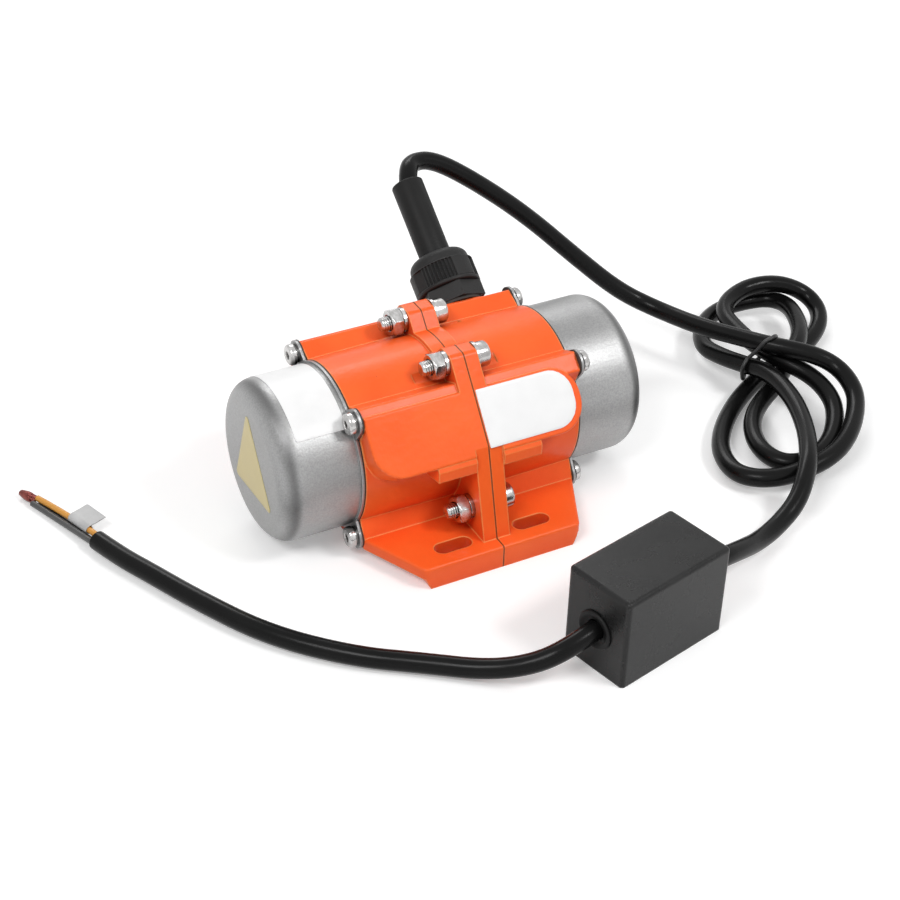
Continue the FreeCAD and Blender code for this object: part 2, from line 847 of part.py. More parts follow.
def weight(start):
    """Half disc with a split hub round the shaft, hanging down."""
    end = start + weight_thickness
    over = 2 * weight_radius
    disc = cylinder(weight_radius, start, end)
    upper = block(start - 1, end + 1, -over, over, axis_height, axis_height + over)
    disc = disc.cut(upper).fuse(cylinder(weight_hub_radius, start, end))
    half_clamp = weight_clamp_width / 2.0
    clamp_top = axis_height + weight_hub_radius + weight_clamp_height
    disc = disc.fuse(block(start, end, -half_clamp, half_clamp, axis_height, clamp_top))
    half_slit = weight_slit / 2.0
    slit = block(start - 1, end + 1, -half_slit, half_slit, axis_height, axis_height + over)
    disc = disc.cut(slit).cut(cylinder(shaft_radius + weight_fit, start - 1, end + 1))
    hole_radius = weight_screw_diameter / 2.0 + weight_screw_fit
    foot = at((start + end) / 2.0, -over, weight_screw_level)
    hole = Part.makeCylinder(hole_radius, 2 * over, foot, Y_AXIS)
    return disc.cut(hole).removeSplitter()


def weight_screw(start):
    """Clamp screw across the hub's slit, its head against the clamp's side."""
    middle = start + weight_thickness / 2.0
    seat = weight_clamp_width / 2.0
    top = seat + weight_screw_head_height
    foot = at(middle, top - weight_screw_length - weight_screw_head_height, weight_screw_level)
    shank = Part.makeCylinder(weight_screw_diameter / 2.0, weight_screw_length, foot, Y_AXIS)
    head = Part.makeCylinder(weight_screw_head / 2.0, weight_screw_head_height,
                             at(middle, seat, weight_screw_level), Y_AXIS)
    socket = hexagon(screw_socket_across, weight_screw_head_height,
                     at(middle, top - screw_socket_depth, weight_screw_level), Y_AXIS)
    return head.fuse(shank).cut(socket).removeSplitter()


def retaining_ring():
    """Snap ring in the shaft's groove, with its gap at the top."""
    start = ring_start
    body = ring(shaft_radius + ring_proud, shaft_radius - ring_groove_depth, start, start + ring_width)
    half = ring_opening / 2.0
    return body.cut(block(start - 1, start + 2 * ring_width, -half, half, axis_height, 2 * axis_height))


def spacer():
    return ring(spacer_radius, shaft_radius, bearing_end, spacer_end)


# Cable gland

def gland_washer():
    body = along_gland(gland_washer_radius, pad_distance, washer_top)
    return body.cut(along_gland(gland_thread_radius, pad_distance - 1, washer_top + 1))


def gland_body():
    """Hexagon with a thread into the housing, and a neck that carries the nut."""
    flats = hexagon(gland_hex_across, gland_hex_height, gland_axis(washer_top), gland_direction)
    thread = along_gland(gland_thread_radius - gland_thread_fit, gland_thread_end, hex_top)
    neck = along_gland(gland_neck_radius, washer_top, seal_top)
    body = flats.fuse(thread).fuse(neck)
    body = body.cut(along_gland(cord_radius + gland_cord_way, gland_thread_end - 1, hex_top + 1))
    body = body.cut(along_gland(gland_bore_radius, hex_top, seal_top + 1))
    return body.removeSplitter()


def gland_seal():
    body = along_gland(gland_bore_radius - cord_fit, hex_top, seal_top - seal_recess)
    return body.cut(along_gland(cord_radius, hex_top - 1, seal_top + 1))


def gland_nut():
    """Dome nut with grooves round its skirt, a rounded shoulder and a rounded crown."""
    start = hex_top + gland_nut_lift
    dome_top = nut_top + gland_dome_height
    body = along_gland(gland_nut_radius, start, nut_top)
    shoulder = gland_axis(nut_top)
    body = soften(body, gland_nut_edge, lambda edge: edge.CenterOfMass.distanceToPoint(shoulder) < near)
    dome = along_gland(gland_nut_radius - gland_dome_inset, start, dome_top)
    crown = gland_axis(dome_top)
    dome = soften(dome, gland_dome_edge, lambda edge: edge.CenterOfMass.distanceToPoint(crown) < near)
    body = body.fuse(dome)
    neck_way = gland_neck_radius + gland_nut_clearance
    body = body.cut(along_gland(neck_way, start - 1, seal_top + gland_nut_lift))
    body = body.cut(along_gland(sleeve_radius + cord_fit, start, dome_top + 1))
    side = X_AXIS
    other = gland_direction.cross(side)
    for i in range(gland_rib_count):
        angle = math.radians(360.0 * (i + 0.5) / gland_rib_count)
        out = side * math.cos(angle) + other * math.sin(angle)
        foot = gland_axis(start + gland_groove_margin) + out * (gland_nut_radius + gland_groove_inset)
        height = nut_top - start - 2 * gland_groove_margin - gland_nut_edge
        body = body.cut(Part.makeCylinder(gland_groove_radius, height, foot, gland_direction))
    return body.removeSplitter()


def cable_sleeve():
    """Rubber sleeve round the cord, from inside the nut to its free end."""
    start = seal_top + sleeve_recess
    body = along_gland(sleeve_radius, start, sleeve_end)
    end = gland_axis(sleeve_end)
    body = soften(body, sleeve_edge, lambda edge: edge.CenterOfMass.distanceToPoint(end) < near)
    return body.cut(along_gland(cord_radius, start - 1, sleeve_end + 1))


def cord_in_gland():
    return along_gland(cord_radius, gland_thread_end, sleeve_end)


# Capacitor box

def box_frame(shape):
    """Place a shape made round the box's own centre."""
    shape.rotate(V(0, 0, 0), Z_AXIS, box_turn)
    shape.translate(V(box_centre[0], box_centre[1], 0))
    return shape


def box_end(side, inset=0.0):
    """Point on the box's end face, on the cord's axis."""
    turn = math.radians(box_turn)
    reach = side * (box_length / 2.0 - inset)
    return V(box_centre[0] + reach * math.cos(turn), box_centre[1] + reach * math.sin(turn), box_entry_height)


def centred_block(length, width, z0, z1):
    return block(-length / 2.0, length / 2.0, -width / 2.0, width / 2.0, z0, z1)


def capacitor_box():
    """Moulded shell, open below, with a round entry in each end."""
    shell = centred_block(box_length, box_width, 0, box_height)
    shell = soften(shell, box_edge, lambda edge: edge.CenterOfMass.z > near)
    inner = centred_block(box_length - 2 * box_wall, box_width - 2 * box_wall, -1, box_height - box_wall)
    entry = Part.makeCylinder(box_entry_radius, box_length + 2,
                              V(-box_length / 2.0 - 1, 0, box_entry_height), X_AXIS)
    return box_frame(shell.cut(inner).cut(entry))


def potting():
    """Cast filling round the capacitor, level with the shell's rim."""
    length = box_length - 2 * box_wall
    width = box_width - 2 * box_wall
    fill = centred_block(length, width, potting_recess, box_height - box_wall)
    return box_frame(fill.cut(capacitor_blank()))


def capacitor_blank():
    length, width, height = capacitor_size
    base = (box_height - height) / 2.0
    return centred_block(length, width, base, base + height)


# Cords

def tube(points, radius, name):
    """Round tube along straight runs joined by tangent arcs, each as large as its two runs allow."""
    points = [V(*point) for point in points]
    edges = []
    cursor = points[0]
    length = 0.0
    radii = []
    for i in range(1, len(points) - 1):
        back = points[i - 1] - points[i]
        ahead = points[i + 1] - points[i]
        shorter = min(back.Length, ahead.Length)
        turn = math.pi - back.getAngle(ahead)
        arc_radius = 0.45 * shorter / math.tan(turn / 2.0)
        radii.append(arc_radius)
        reach = arc_radius * math.tan(turn / 2.0)
        to_back = V(back).normalize()
        to_ahead = V(ahead).normalize()
        start = points[i] + to_back * reach
        end = points[i] + to_ahead * reach
        bisector = (to_back + to_ahead).normalize()
        centre = points[i] + bisector * (arc_radius / math.cos(turn / 2.0))
        middle = centre - bisector * arc_radius
        edges.append(Part.LineSegment(cursor, start).toShape())
        edges.append(Part.Arc(start, middle, end).toShape())
        length += cursor.distanceToPoint(start) + arc_radius * turn
        cursor = end
    edges.append(Part.LineSegment(cursor, points[-1]).toShape())
    length += cursor.distanceToPoint(points[-1])
    path = Part.Wire(edges)
    heading = (points[1] - points[0]).normalize()
    circle = Part.Wire([Part.makeCircle(radius, points[0], heading)])
    solid = path.makePipeShell([circle], True, False)
    expected = math.pi * radius * radius * length
    lowest = solid.BoundBox.ZMin
    print("%s: length %.1f, volume ratio %.4f, lowest %.2f, smallest radii %s" % (
        name, length, solid.Volume / expected, lowest, [round(r, 1) for r in sorted(radii)[:3]]))
    return solid


def on_ridge(shape):
    """Place a shape made round the ridge's own centre."""
    shape.rotate(V(0, 0, 0), Z_AXIS, ridge_turn)
    shape.translate(V(ridge_centre[0], ridge_centre[1], 0))
    return shape


def hank():
    """Closed outer shape of the figure-of-eight hank, higher where its upper strands are tied."""
    outline = rounded_wire([V(x, y, 0) for x, y in hank_outline], hank_corner)
    body = Part.Face(outline).extrude(V(0, 0, hank_height))
    ridge = centred_block(ridge_length, ridge_width, 0, ridge_height)
    ridge = soften(ridge, ridge_edge, lambda edge: edge.CenterOfMass.z > ridge_height - near)
    return body.fuse(on_ridge(ridge)).removeSplitter()


def hank_tie():
    """Thin band over the ridge and down both its sides."""
    reach = ridge_width / 2.0 + tie_thickness
    top = ridge_height + tie_thickness
    outer = block(tie_place - tie_width / 2.0, tie_place + tie_width / 2.0, -reach, reach, hank_height, top)
    outer = soften(outer, tie_bend, lambda edge: edge.CenterOfMass.z > ridge_height and edge.Length < reach)
    return on_ridge(outer).cut(hank())


def copper_end():
    """Bare strands of both cores, twisted into one thicker tail."""
    twist = V(*copper_route[0])
    tail = V(*copper_route[1])
    radius = copper_diameter / 2.0
    bundle = Part.makeCylinder(radius, twist.distanceToPoint(tail), twist, tail - twist)
    solids = [Part.makeSphere(radius, twist), bundle]
    for route in core_routes.values():
        start = V(*route[-1])
        length = start.distanceToPoint(twist)
        solids.append(Part.makeCylinder(copper_stub_diameter / 2.0, length, start, twist - start))
    return join(solids)


def wire_tag():
    """Film rolled round the yellow core, its two ends stuck together as a flag to one side."""
    half = tag_length / 2.0
    inner = tag_roll_radius - tag_thickness
    roll = Part.makeCylinder(tag_roll_radius, tag_length, V(-half, 0, 0), X_AXIS)
    way = Part.makeCylinder(inner, 2 * tag_length, V(-tag_length, 0, 0), X_AXIS)
    flag = block(-half, half, -tag_flag, 0, inner, tag_roll_radius)
    tag = roll.fuse(flag).cut(way).removeSplitter()
    tag.rotate(V(0, 0, 0), Z_AXIS, tag_turn)
    tag.translate(V(*tag_place))
    return tag


def main():
    os.makedirs("parts", exist_ok=True)
    right = housing_half(plate_pad_end, True)
    left = mirrored(housing_half(pad_end, False))
    trim = split_gap / 2.0
    wide = 2 * foot_half_width
    right = right.cut(block(-1, trim, -wide, wide, -1, 2 * wide))
    left = left.cut(block(-trim, 1, -wide, wide, -1, 2 * wide))
    right = right.cut(along_gland(gland_thread_radius, cavity_radius - gland_way_depth, pad_distance + 1))
    spot_radius = gland_hex_across / math.sqrt(3.0) + gland_spot_clearance
    right = right.cut(along_gland(spot_radius, pad_distance, seal_top))
    save("housing_right", right)
    save("housing_left", left)

    cap = end_cap()
    gasket = cap_gasket()
    screws = cap_screws()
    washers = cap_screw_washers()
    for side, turn in (("right", lambda shape: shape), ("left", mirrored)):
        save("end_cap_" + side, turn(cap))
        save("cap_gasket_" + side, turn(gasket))
        save("cap_screws_" + side, turn(screws))
        save("cap_screw_washers_" + side, turn(washers))
        save("bearing_outer_ring_" + side, turn(bearing_outer_ring()))
        save("bearing_inner_ring_" + side, turn(bearing_inner_ring()))
        save("bearing_balls_" + side, *[turn(piece) for piece in bearing_balls()])
        save("inner_weight_" + side, turn(weight(inner_weight_start)))
        save("outer_weight_" + side, turn(weight(outer_weight_start)))
        save("outer_weight_screw_" + side, turn(weight_screw(outer_weight_start)))

    save("inner_weight_screws", weight_screw(inner_weight_start), mirrored(weight_screw(inner_weight_start)))
    save("weight_spacers", spacer(), mirrored(spacer()))
    save("shaft_retaining_rings", retaining_ring(), mirrored(retaining_ring()))

    save("flange_bolts", flange_bolts())
    save("flange_washers", flange_washers())
    save("flange_spring_washers", nut_spring_washers())
    save("flange_nuts", flange_nuts())

    save("stator_core", stator_core())
    save("stator_windings", stator_windings())
    save("rotor_core", rotor_core())
    save("rotor_end_rings", rotor_end_rings())
    save("shaft", shaft())

    save("gland_washer", gland_washer())
    save("gland_body", gland_body())
    save("gland_seal", gland_seal())
    save("gland_nut", gland_nut())
    save("cable_sleeve", cable_sleeve())
    save("motor_cord_in_gland", cord_in_gland())

    save("capacitor_box", capacitor_box())
    save("box_potting", potting())
    save("capacitor", box_frame(capacitor_blank()))

    sleeve_tip = gland_axis(sleeve_end)
    save("motor_cord_arch", tube([tuple(sleeve_tip)] + arch_route, cord_radius, "motor cord arch"))
    save("motor_cord_hank", hank())
    save("hank_tie", hank_tie())
    save("motor_cord_box_run", tube(box_run_route + [tuple(box_end(1, box_wall))], cord_radius, "box run"))
    supply = [tuple(box_end(-1, box_wall))] + supply_route
    save("supply_cord", tube(supply, cord_radius, "supply cord"))
    for name, route in core_routes.items():
        save(name, tube(route, core_diameter / 2.0, name))
    save("copper_end", copper_end())
    save("wire_tag", wire_tag())


main()
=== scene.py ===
import math

import bpy
import numpy as np
from mathutils import Matrix, Vector

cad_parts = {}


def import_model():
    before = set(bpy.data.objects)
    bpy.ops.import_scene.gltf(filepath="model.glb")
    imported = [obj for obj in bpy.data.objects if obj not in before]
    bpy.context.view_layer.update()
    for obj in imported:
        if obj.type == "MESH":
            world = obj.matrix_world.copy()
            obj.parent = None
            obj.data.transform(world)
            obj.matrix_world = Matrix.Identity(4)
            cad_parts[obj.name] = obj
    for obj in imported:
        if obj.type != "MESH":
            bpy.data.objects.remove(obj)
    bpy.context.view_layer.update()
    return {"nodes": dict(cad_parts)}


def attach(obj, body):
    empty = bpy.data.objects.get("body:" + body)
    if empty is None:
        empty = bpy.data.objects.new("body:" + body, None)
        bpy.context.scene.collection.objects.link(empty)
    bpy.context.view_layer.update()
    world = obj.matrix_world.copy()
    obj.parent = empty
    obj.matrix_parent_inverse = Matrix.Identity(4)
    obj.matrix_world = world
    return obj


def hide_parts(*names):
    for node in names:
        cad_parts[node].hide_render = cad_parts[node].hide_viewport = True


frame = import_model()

# Dressing of a vibration motor: painted split body, drawn steel end caps,
# cable gland with its rubber sleeve, tied hank of lead, capacitor box and bare-ended cord.
# Metres, in the same frame as the solids. What is in millimetres says so.

nodes = frame["nodes"]
MM = 0.001
shaft_height = 35.0  # millimetres
cord_diameter = 7.7 * MM
core_diameter = 2.5 * MM

# Turning points of the leads, in the order that they are followed
motor_lead = [
    (0.0278, 0.0797, 0.0899), (0.0296, 0.0844, 0.0940), (0.0346, 0.0913, 0.0952),
    (0.0454, 0.0920, 0.0938), (0.0625, 0.0859, 0.0828), (0.0834, 0.0775, 0.0660),
    (0.1045, 0.0678, 0.0448), (0.1205, 0.0586, 0.0297), (0.1335, 0.0505, 0.0220),
    (0.1431, 0.0254, 0.0229), (0.1540, 0.0062, 0.0245), (0.1592, -0.0037, 0.0257),
    (0.1726, -0.0162, 0.0248), (0.1808, -0.0244, 0.0206), (0.1802, -0.0369, 0.0173),
    (0.1738, -0.0473, 0.0147), (0.1612, -0.0594, 0.0128), (0.1468, -0.0668, 0.0112),
    (0.1311, -0.0675, 0.0095), (0.1223, -0.0653, 0.0078), (0.1134, -0.0596, 0.0066),
    (0.1100, -0.0501, 0.0055), (0.1140, -0.0360, 0.0050), (0.1240, -0.0230, 0.0045),
    (0.1370, -0.0115, 0.0045), (0.1515, -0.0020, 0.0045), (0.1665, 0.0055, 0.0045),
    (0.1819, 0.0109, 0.0049), (0.1972, 0.0157, 0.0060), (0.2088, 0.0237, 0.0077),
    (0.2143, 0.0331, 0.0100), (0.2127, 0.0417, 0.0134), (0.2037, 0.0467, 0.0178),
    (0.1928, 0.0490, 0.0194), (0.1828, 0.0507, 0.0177), (0.1713, 0.0460, 0.0162),
    (0.1653, 0.0376, 0.0157), (0.1634, 0.0258, 0.0161), (0.1617, 0.0111, 0.0173),
    (0.1639, -0.0049, 0.0182), (0.1716, -0.0195, 0.0158), (0.1720, -0.0330, 0.0130),
    (0.1663, -0.0442, 0.0107), (0.1554, -0.0551, 0.0086), (0.1425, -0.0605, 0.0073),
    (0.1320, -0.0575, 0.0065), (0.1280, -0.0485, 0.0065), (0.1305, -0.0360, 0.0065),
    (0.1380, -0.0244, 0.0069), (0.1481, -0.0164, 0.0074), (0.1589, -0.0111, 0.0091),
    (0.1725, -0.0005, 0.0109), (0.1850, 0.0083, 0.0136), (0.1944, 0.0202, 0.0130),
    (0.2024, 0.0388, 0.0110), (0.1992, 0.0496, 0.0098), (0.1884, 0.0538, 0.0085),
    (0.1739, 0.0534, 0.0085), (0.1590, 0.0454, 0.0085), (0.1479, 0.0289, 0.0096),
    (0.1493, 0.0162, 0.0112), (0.1526, 0.0035, 0.0134), (0.1547, -0.0054, 0.0157),
    (0.1550, -0.0171, 0.0169), (0.1520, -0.0336, 0.0170), (0.1443, -0.0514, 0.0172),
    (0.1340, -0.0676, 0.0181), (0.1257, -0.0774, 0.0160), (0.1165, -0.0853, 0.0114),
    (0.1050, -0.0900, 0.0074), (0.0910, -0.0958, 0.0076), (0.0770, -0.1023, 0.0128),
    (0.0638, -0.1072, 0.0168), (0.0510, -0.1104, 0.0180),
]
supply_lead = [
    (0.0004, -0.1226, 0.0180), (-0.0110, -0.1252, 0.0162), (-0.0235, -0.1218, 0.0104),
    (-0.0370, -0.1120, 0.0052), (-0.0540, -0.0984, 0.0042), (-0.0760, -0.0834, 0.0042),
    (-0.0985, -0.0590, 0.0042), (-0.1140, -0.0292, 0.0042), (-0.1238, -0.0070, 0.0042),
    (-0.1300, 0.0063, 0.0042), (-0.1346, 0.0198, 0.0042),
]
yellow_core = [
    (-0.1333, 0.0198, 0.0049), (-0.1389, 0.0380, 0.0047), (-0.1462, 0.0569, 0.0030),
]
grey_core = [
    (-0.1363, 0.0198, 0.0036), (-0.1426, 0.0404, 0.0020), (-0.1486, 0.0562, 0.0018),
]
black_core = [
    (-0.1346, 0.0198, 0.0023), (-0.1404, 0.0388, 0.0013), (-0.1457, 0.0556, 0.0013),
]


# Helpers for shader nodes

FLOAT = "NodeSocketFloat"
COLOR = "NodeSocketColor"
VECTOR = "NodeSocketVector"
WHITE = (1.0, 1.0, 1.0, 1.0)
BLACK = (0.0, 0.0, 0.0, 1.0)
FINE_BUMP = 0.0003
BEVEL_RAYS = 6
HOLLOW_RAYS = 6


def fill(tree, sockets, values):
    """Give each named or numbered socket its value or its link."""
    for key, value in values.items():
        if isinstance(value, bpy.types.NodeSocket):
            tree.links.new(value, sockets[key])
        else:
            sockets[key].default_value = value


def add(tree, kind, values=None, **fields):
    """One shader node, with values or links given by socket name or number."""
    made = tree.nodes.new(kind)
    for name, value in fields.items():
        setattr(made, name, value)
    fill(tree, made.inputs, values or {})
    return made


def group(name, inputs, outputs):
    """Empty shader group with named sockets: its tree, its inputs inside, and its outputs inside."""
    tree = bpy.data.node_groups.new(name, "ShaderNodeTree")
    for label, kind, value in inputs:
        socket = tree.interface.new_socket(name=label, in_out="INPUT", socket_type=kind)
        if value is not None:
            socket.default_value = value
    for label, kind in outputs:
        tree.interface.new_socket(name=label, in_out="OUTPUT", socket_type=kind)
    return tree, tree.nodes.new("NodeGroupInput").outputs, tree.nodes.new("NodeGroupOutput").inputs


def use(tree, shared, **values):
    """Outputs of a shared group that is placed in a material with its own values."""
    made = add(tree, "ShaderNodeGroup", node_tree=shared)
    fill(tree, made.inputs, {label.replace("_", " ").capitalize(): value for label, value in values.items()})
    return made.outputs


def number(tree, operation, *values):
    """Result of one arithmetic step."""
    return add(tree, "ShaderNodeMath", dict(enumerate(values)), operation=operation).outputs[0]


def ranged(tree, value, low, high, start=0.0, end=1.0, **fields):
    """A value moved from one range to another, and held at its ends."""
    values = {"Value": value, "From Min": low, "From Max": high, "To Min": start, "To Max": end}
    return add(tree, "ShaderNodeMapRange", values, **fields).outputs["Result"]


def blend(tree, factor, first, second):
    """Colour between two colours."""
    return add(tree, "ShaderNodeMix", {"Factor": factor, 6: first, 7: second}, data_type="RGBA").outputs[2]


def noise(tree, place, scale, detail, **values):
    """Soft noise around 0.5."""
    values = {"Vector": place, "Scale": scale, "Detail": detail, **values}
    return add(tree, "ShaderNodeTexNoise", values).outputs["Fac"]


def from_middle(tree, place):
    """Distance along the shaft from the plane where the housing halves meet."""
    return number(tree, "ABSOLUTE", add(tree, "ShaderNodeSeparateXYZ", {"Vector": place}).outputs["X"])


def hollows(tree, distance, low, high, most):
    """Mask that grows to a given value where other surface stands closer than a distance; it paints shade
    into corners and gaps.
    """
    near = add(tree, "ShaderNodeAmbientOcclusion", {"Distance": distance}, samples=HOLLOW_RAYS)
    return ranged(tree, near.outputs["AO"], low, high, most, 0.0)


# Effects that several materials share

def make_mottle():
    """Slow blotches from one tone to another: noise, spread over its middle range."""
    inputs = [("Vector", VECTOR, None), ("Scale", FLOAT, 60.0), ("Light", COLOR, WHITE),
              ("Dark", COLOR, BLACK)]
    tree, given, out = group("mottle", inputs, [("Color", COLOR), ("Mask", FLOAT)])
    blotches = noise(tree, given["Vector"], given["Scale"], 5.0, Roughness=0.55)
    mask = ranged(tree, blotches, 0.32, 0.68)
    tree.links.new(blend(tree, mask, given["Dark"], given["Light"]), out["Color"])
    tree.links.new(mask, out["Mask"])
    return tree


def make_grain():
    """Fine bumps: a quick noise added to one five times as fine, for a Bump node's height."""
    inputs = [("Vector", VECTOR, None), ("Scale", FLOAT, 800.0), ("Share", FLOAT, 0.4)]
    tree, given, out = group("grain", inputs, [("Height", FLOAT)])
    coarse = noise(tree, given["Vector"], given["Scale"], 2.0)
    fine = noise(tree, given["Vector"], number(tree, "MULTIPLY", given["Scale"], 5.0), 1.0)
    part = number(tree, "MULTIPLY", fine, given["Share"])
    tree.links.new(number(tree, "ADD", coarse, part), out["Height"])
    return tree


def make_edges():
    """Rounded normals near an edge, and a mask that is 1 where the rounding turns them most."""
    tree, given, out = group("edges", [("Radius", FLOAT, 0.0005)], [("Normal", VECTOR), ("Mask", FLOAT)])
    bevel = add(tree, "ShaderNodeBevel", {"Radius": given["Radius"]}, samples=BEVEL_RAYS)
    plain = add(tree, "ShaderNodeNewGeometry")
    agree = add(tree, "ShaderNodeVectorMath", {0: bevel.outputs["Normal"], 1: plain.outputs["Normal"]},
                operation="DOT_PRODUCT")
    tree.links.new(bevel.outputs["Normal"], out["Normal"])
    tree.links.new(ranged(tree, agree.outputs["Value"], 0.995, 0.86), out["Mask"])
    return tree


def make_specks():
    """Sparse small marks: cells whose centre is nearer than their size, thinned by a slow noise."""
    inputs = [("Vector", VECTOR, None), ("Scale", FLOAT, 300.0), ("Size", FLOAT, 0.12),
              ("Rarity", FLOAT, 0.6)]
    tree, given, out = group("specks", inputs, [("Mask", FLOAT)])
    cells = add(tree, "ShaderNodeTexVoronoi", {"Vector": given["Vector"], "Scale": given["Scale"]})
    near = number(tree, "LESS_THAN", cells.outputs["Distance"], given["Size"])
    rare = number(tree, "GREATER_THAN", noise(tree, given["Vector"], 45.0, 2.0), given["Rarity"])
    tree.links.new(number(tree, "MULTIPLY", near, rare), out["Mask"])
    return tree


mottle = make_mottle()
grain = make_grain()
edges = make_edges()
specks = make_specks()


# Materials. Tones are reflectances from 0 to 1, radii and distances metres, and scales per metre.

def tone(value, warm=0.0):
    """Grey of a given level, a little warm or cool."""
    return (value * (1 + warm), value, value * (1 - warm), 1.0)


def scaled(colour, share, lift=0.0):
    """A colour made lighter or darker."""
    return tuple(min(1.0, share * part + lift) for part in colour[:3]) + (1.0,)


def new_material(name, **fixed):
    """Material with one shader; its plain values go on the shader's own sockets."""
    made = bpy.data.materials.new(name)
    made.use_nodes = True
    tree = made.node_tree
    shader = tree.nodes["Principled BSDF"]
    fill(tree, shader.inputs, {label.replace("_", " "): value for label, value in fixed.items()})
    return made, tree, shader, tree.nodes.new("ShaderNodeTexCoord").outputs["Object"]


def set_surface(tree, shader, colour, mask, rough):
    """Base colour, and roughness between two values by a mask."""
    tree.links.new(colour, shader.inputs["Base Color"])
    tree.links.new(ranged(tree, mask, 0.0, 1.0, *rough), shader.inputs["Roughness"])


def finish_relief(tree, shader, height, strength, distance, rounding=None):
    """Bump from a height, on top of rounded edges where they are given."""
    bump = add(tree, "ShaderNodeBump", {"Height": height, "Strength": strength, "Distance": distance})
    if rounding is not None:
        tree.links.new(rounding, bump.inputs["Normal"])
    tree.links.new(bump.outputs["Normal"], shader.inputs["Normal"])


def enamel():
    """Glossy orange paint on a casting: orange peel, slow waves, painted shade in its hollows, a painted
    highlight along the edges, and a dark hair line where the two halves meet, at x = 0."""
    made, tree, shader, place = new_material("orange_enamel_paint", Coat_Weight=0.08, Coat_Roughness=0.18,
                                             Specular_IOR_Level=0.2)
    soft = use(tree, edges, radius=0.0009)
    tones = use(tree, mottle, vector=place, scale=34.0, light=(1.0, 0.146, 0.026, 1),
                dark=(0.97, 0.118, 0.018, 1))
    # Painted shade: the orange turns darker where other surface stands close, in corners and recesses.
    colour = blend(tree, hollows(tree, 0.012, 0.2, 0.85, 0.6), tones["Color"], (0.52, 0.038, 0.008, 1))
    # Painted highlight: the orange turns paler along the edges.
    colour = blend(tree, number(tree, "MULTIPLY", soft["Mask"], 0.9), colour, (1.0, 0.40, 0.13, 1))
    marks = use(tree, specks, vector=place, scale=260.0, size=0.07, rarity=0.66)
    colour = blend(tree, marks["Mask"], colour, (0.42, 0.05, 0.015, 1))
    seam = ranged(tree, from_middle(tree, place), 0.00015, 0.0004, 0.85, 0.0)
    colour = blend(tree, seam, colour, (0.09, 0.012, 0.004, 1))
    set_surface(tree, shader, colour, tones["Mask"], (0.28, 0.4))
    peel = use(tree, grain, vector=place, scale=420.0, share=0.25)
    height = number(tree, "MULTIPLY_ADD", noise(tree, place, 60.0, 1.0), 2.6, peel["Height"])
    finish_relief(tree, shader, height, 0.2, 0.0006, soft["Normal"])
    return made


def metal(name, light, dark, rough, blotch=45.0, grains=900.0, relief=0.08, radius=0.0004, drawn=None,
          sand=0.25, painted_hollow_shade=0.5, corner=None):
    """Bare metal: blotched tone and gloss, fine grain, a painted highlight on the edges, painted shade in
    hollows, drawn lines along one axis, and a painted dark reflection as a darker band round each end that
    starts, peaks and stops at three distances along the shaft."""
    made, tree, shader, place = new_material(name, Metallic=1.0)
    soft = use(tree, edges, radius=radius)
    tones = use(tree, mottle, vector=place, scale=blotch, light=light, dark=dark)
    height = use(tree, grain, vector=place, scale=grains, share=0.5)["Height"]
    black = scaled(dark, 0.12)
    colour = blend(tree, ranged(tree, height, 0.55, 0.95, sand, 0.0), tones["Color"], scaled(dark, 0.55))
    # Painted shade: the metal turns near black in hollows, sockets and creases.
    colour = blend(tree, hollows(tree, 0.003, 0.25, 0.8, painted_hollow_shade), colour, black)
    # Painted dark reflection: a darker band round each end, between the given distances along the shaft.
    if corner is not None:
        start, peak, stop = corner
        away = from_middle(tree, place)
        rise = ranged(tree, away, start, peak, interpolation_type="SMOOTHSTEP")
        fall = ranged(tree, away, stop, peak, interpolation_type="SMOOTHSTEP")
        band = number(tree, "MULTIPLY", number(tree, "MULTIPLY", rise, fall), 0.6)
        colour = blend(tree, band, colour, black)
    # Painted highlight: the metal turns paler along the edges.
    colour = blend(tree, number(tree, "MULTIPLY", soft["Mask"], 0.5), colour, scaled(light, 1.25))
    set_surface(tree, shader, colour, tones["Mask"], rough)
    if drawn is not None:
        stretched = add(tree, "ShaderNodeMapping", {"Vector": place, "Scale": drawn}).outputs["Vector"]
        height = number(tree, "MULTIPLY_ADD", noise(tree, stretched, 1.0, 3.0), 0.8, height)
    finish_relief(tree, shader, height, relief, FINE_BUMP, soft["Normal"])
    return made


def plastic(name, light, dark, rough, grains=700.0, relief=0.1, radius=0.0005, edge_highlight=None, **fixed):
    """Moulded plastic, rubber or resin: near-even tone, fine texture, and edges a little paler as a painted
    highlight.
    """
    made, tree, shader, place = new_material(name, **fixed)
    soft = use(tree, edges, radius=radius)
    tones = use(tree, mottle, vector=place, scale=60.0, light=light, dark=dark)
    # Painted highlight: edges turn paler, to a given tone or to a lighter copy of the plastic's own tone.
    pale = scaled(light, 1.6, 0.01) if edge_highlight is None else tone(edge_highlight)
    colour = blend(tree, number(tree, "MULTIPLY", soft["Mask"], 0.35), tones["Color"], pale)
    set_surface(tree, shader, colour, tones["Mask"], rough)
    height = use(tree, grain, vector=place, scale=grains, share=0.5)["Height"]
    finish_relief(tree, shader, height, relief, FINE_BUMP, soft["Normal"])
    return made


def film(name, light, dark, crease):
    """Printed film or coated plate: clean tone with faint smudges, fine tooth, and shallow creases."""
    made, tree, shader, place = new_material(name, Specular_IOR_Level=0.35)
    soft = use(tree, edges, radius=0.0002)
    tones = use(tree, mottle, vector=place, scale=120.0, light=tone(light), dark=tone(dark))
    set_surface(tree, shader, tones["Color"], tones["Mask"], (0.32, 0.44))
    tooth = use(tree, grain, vector=place, scale=1600.0, share=0.5)
    height = number(tree, "MULTIPLY_ADD", noise(tree, place, 240.0, 1.0), 20.0 * crease, tooth["Height"])
    finish_relief(tree, shader, height, 0.08, FINE_BUMP, soft["Normal"])
    return made


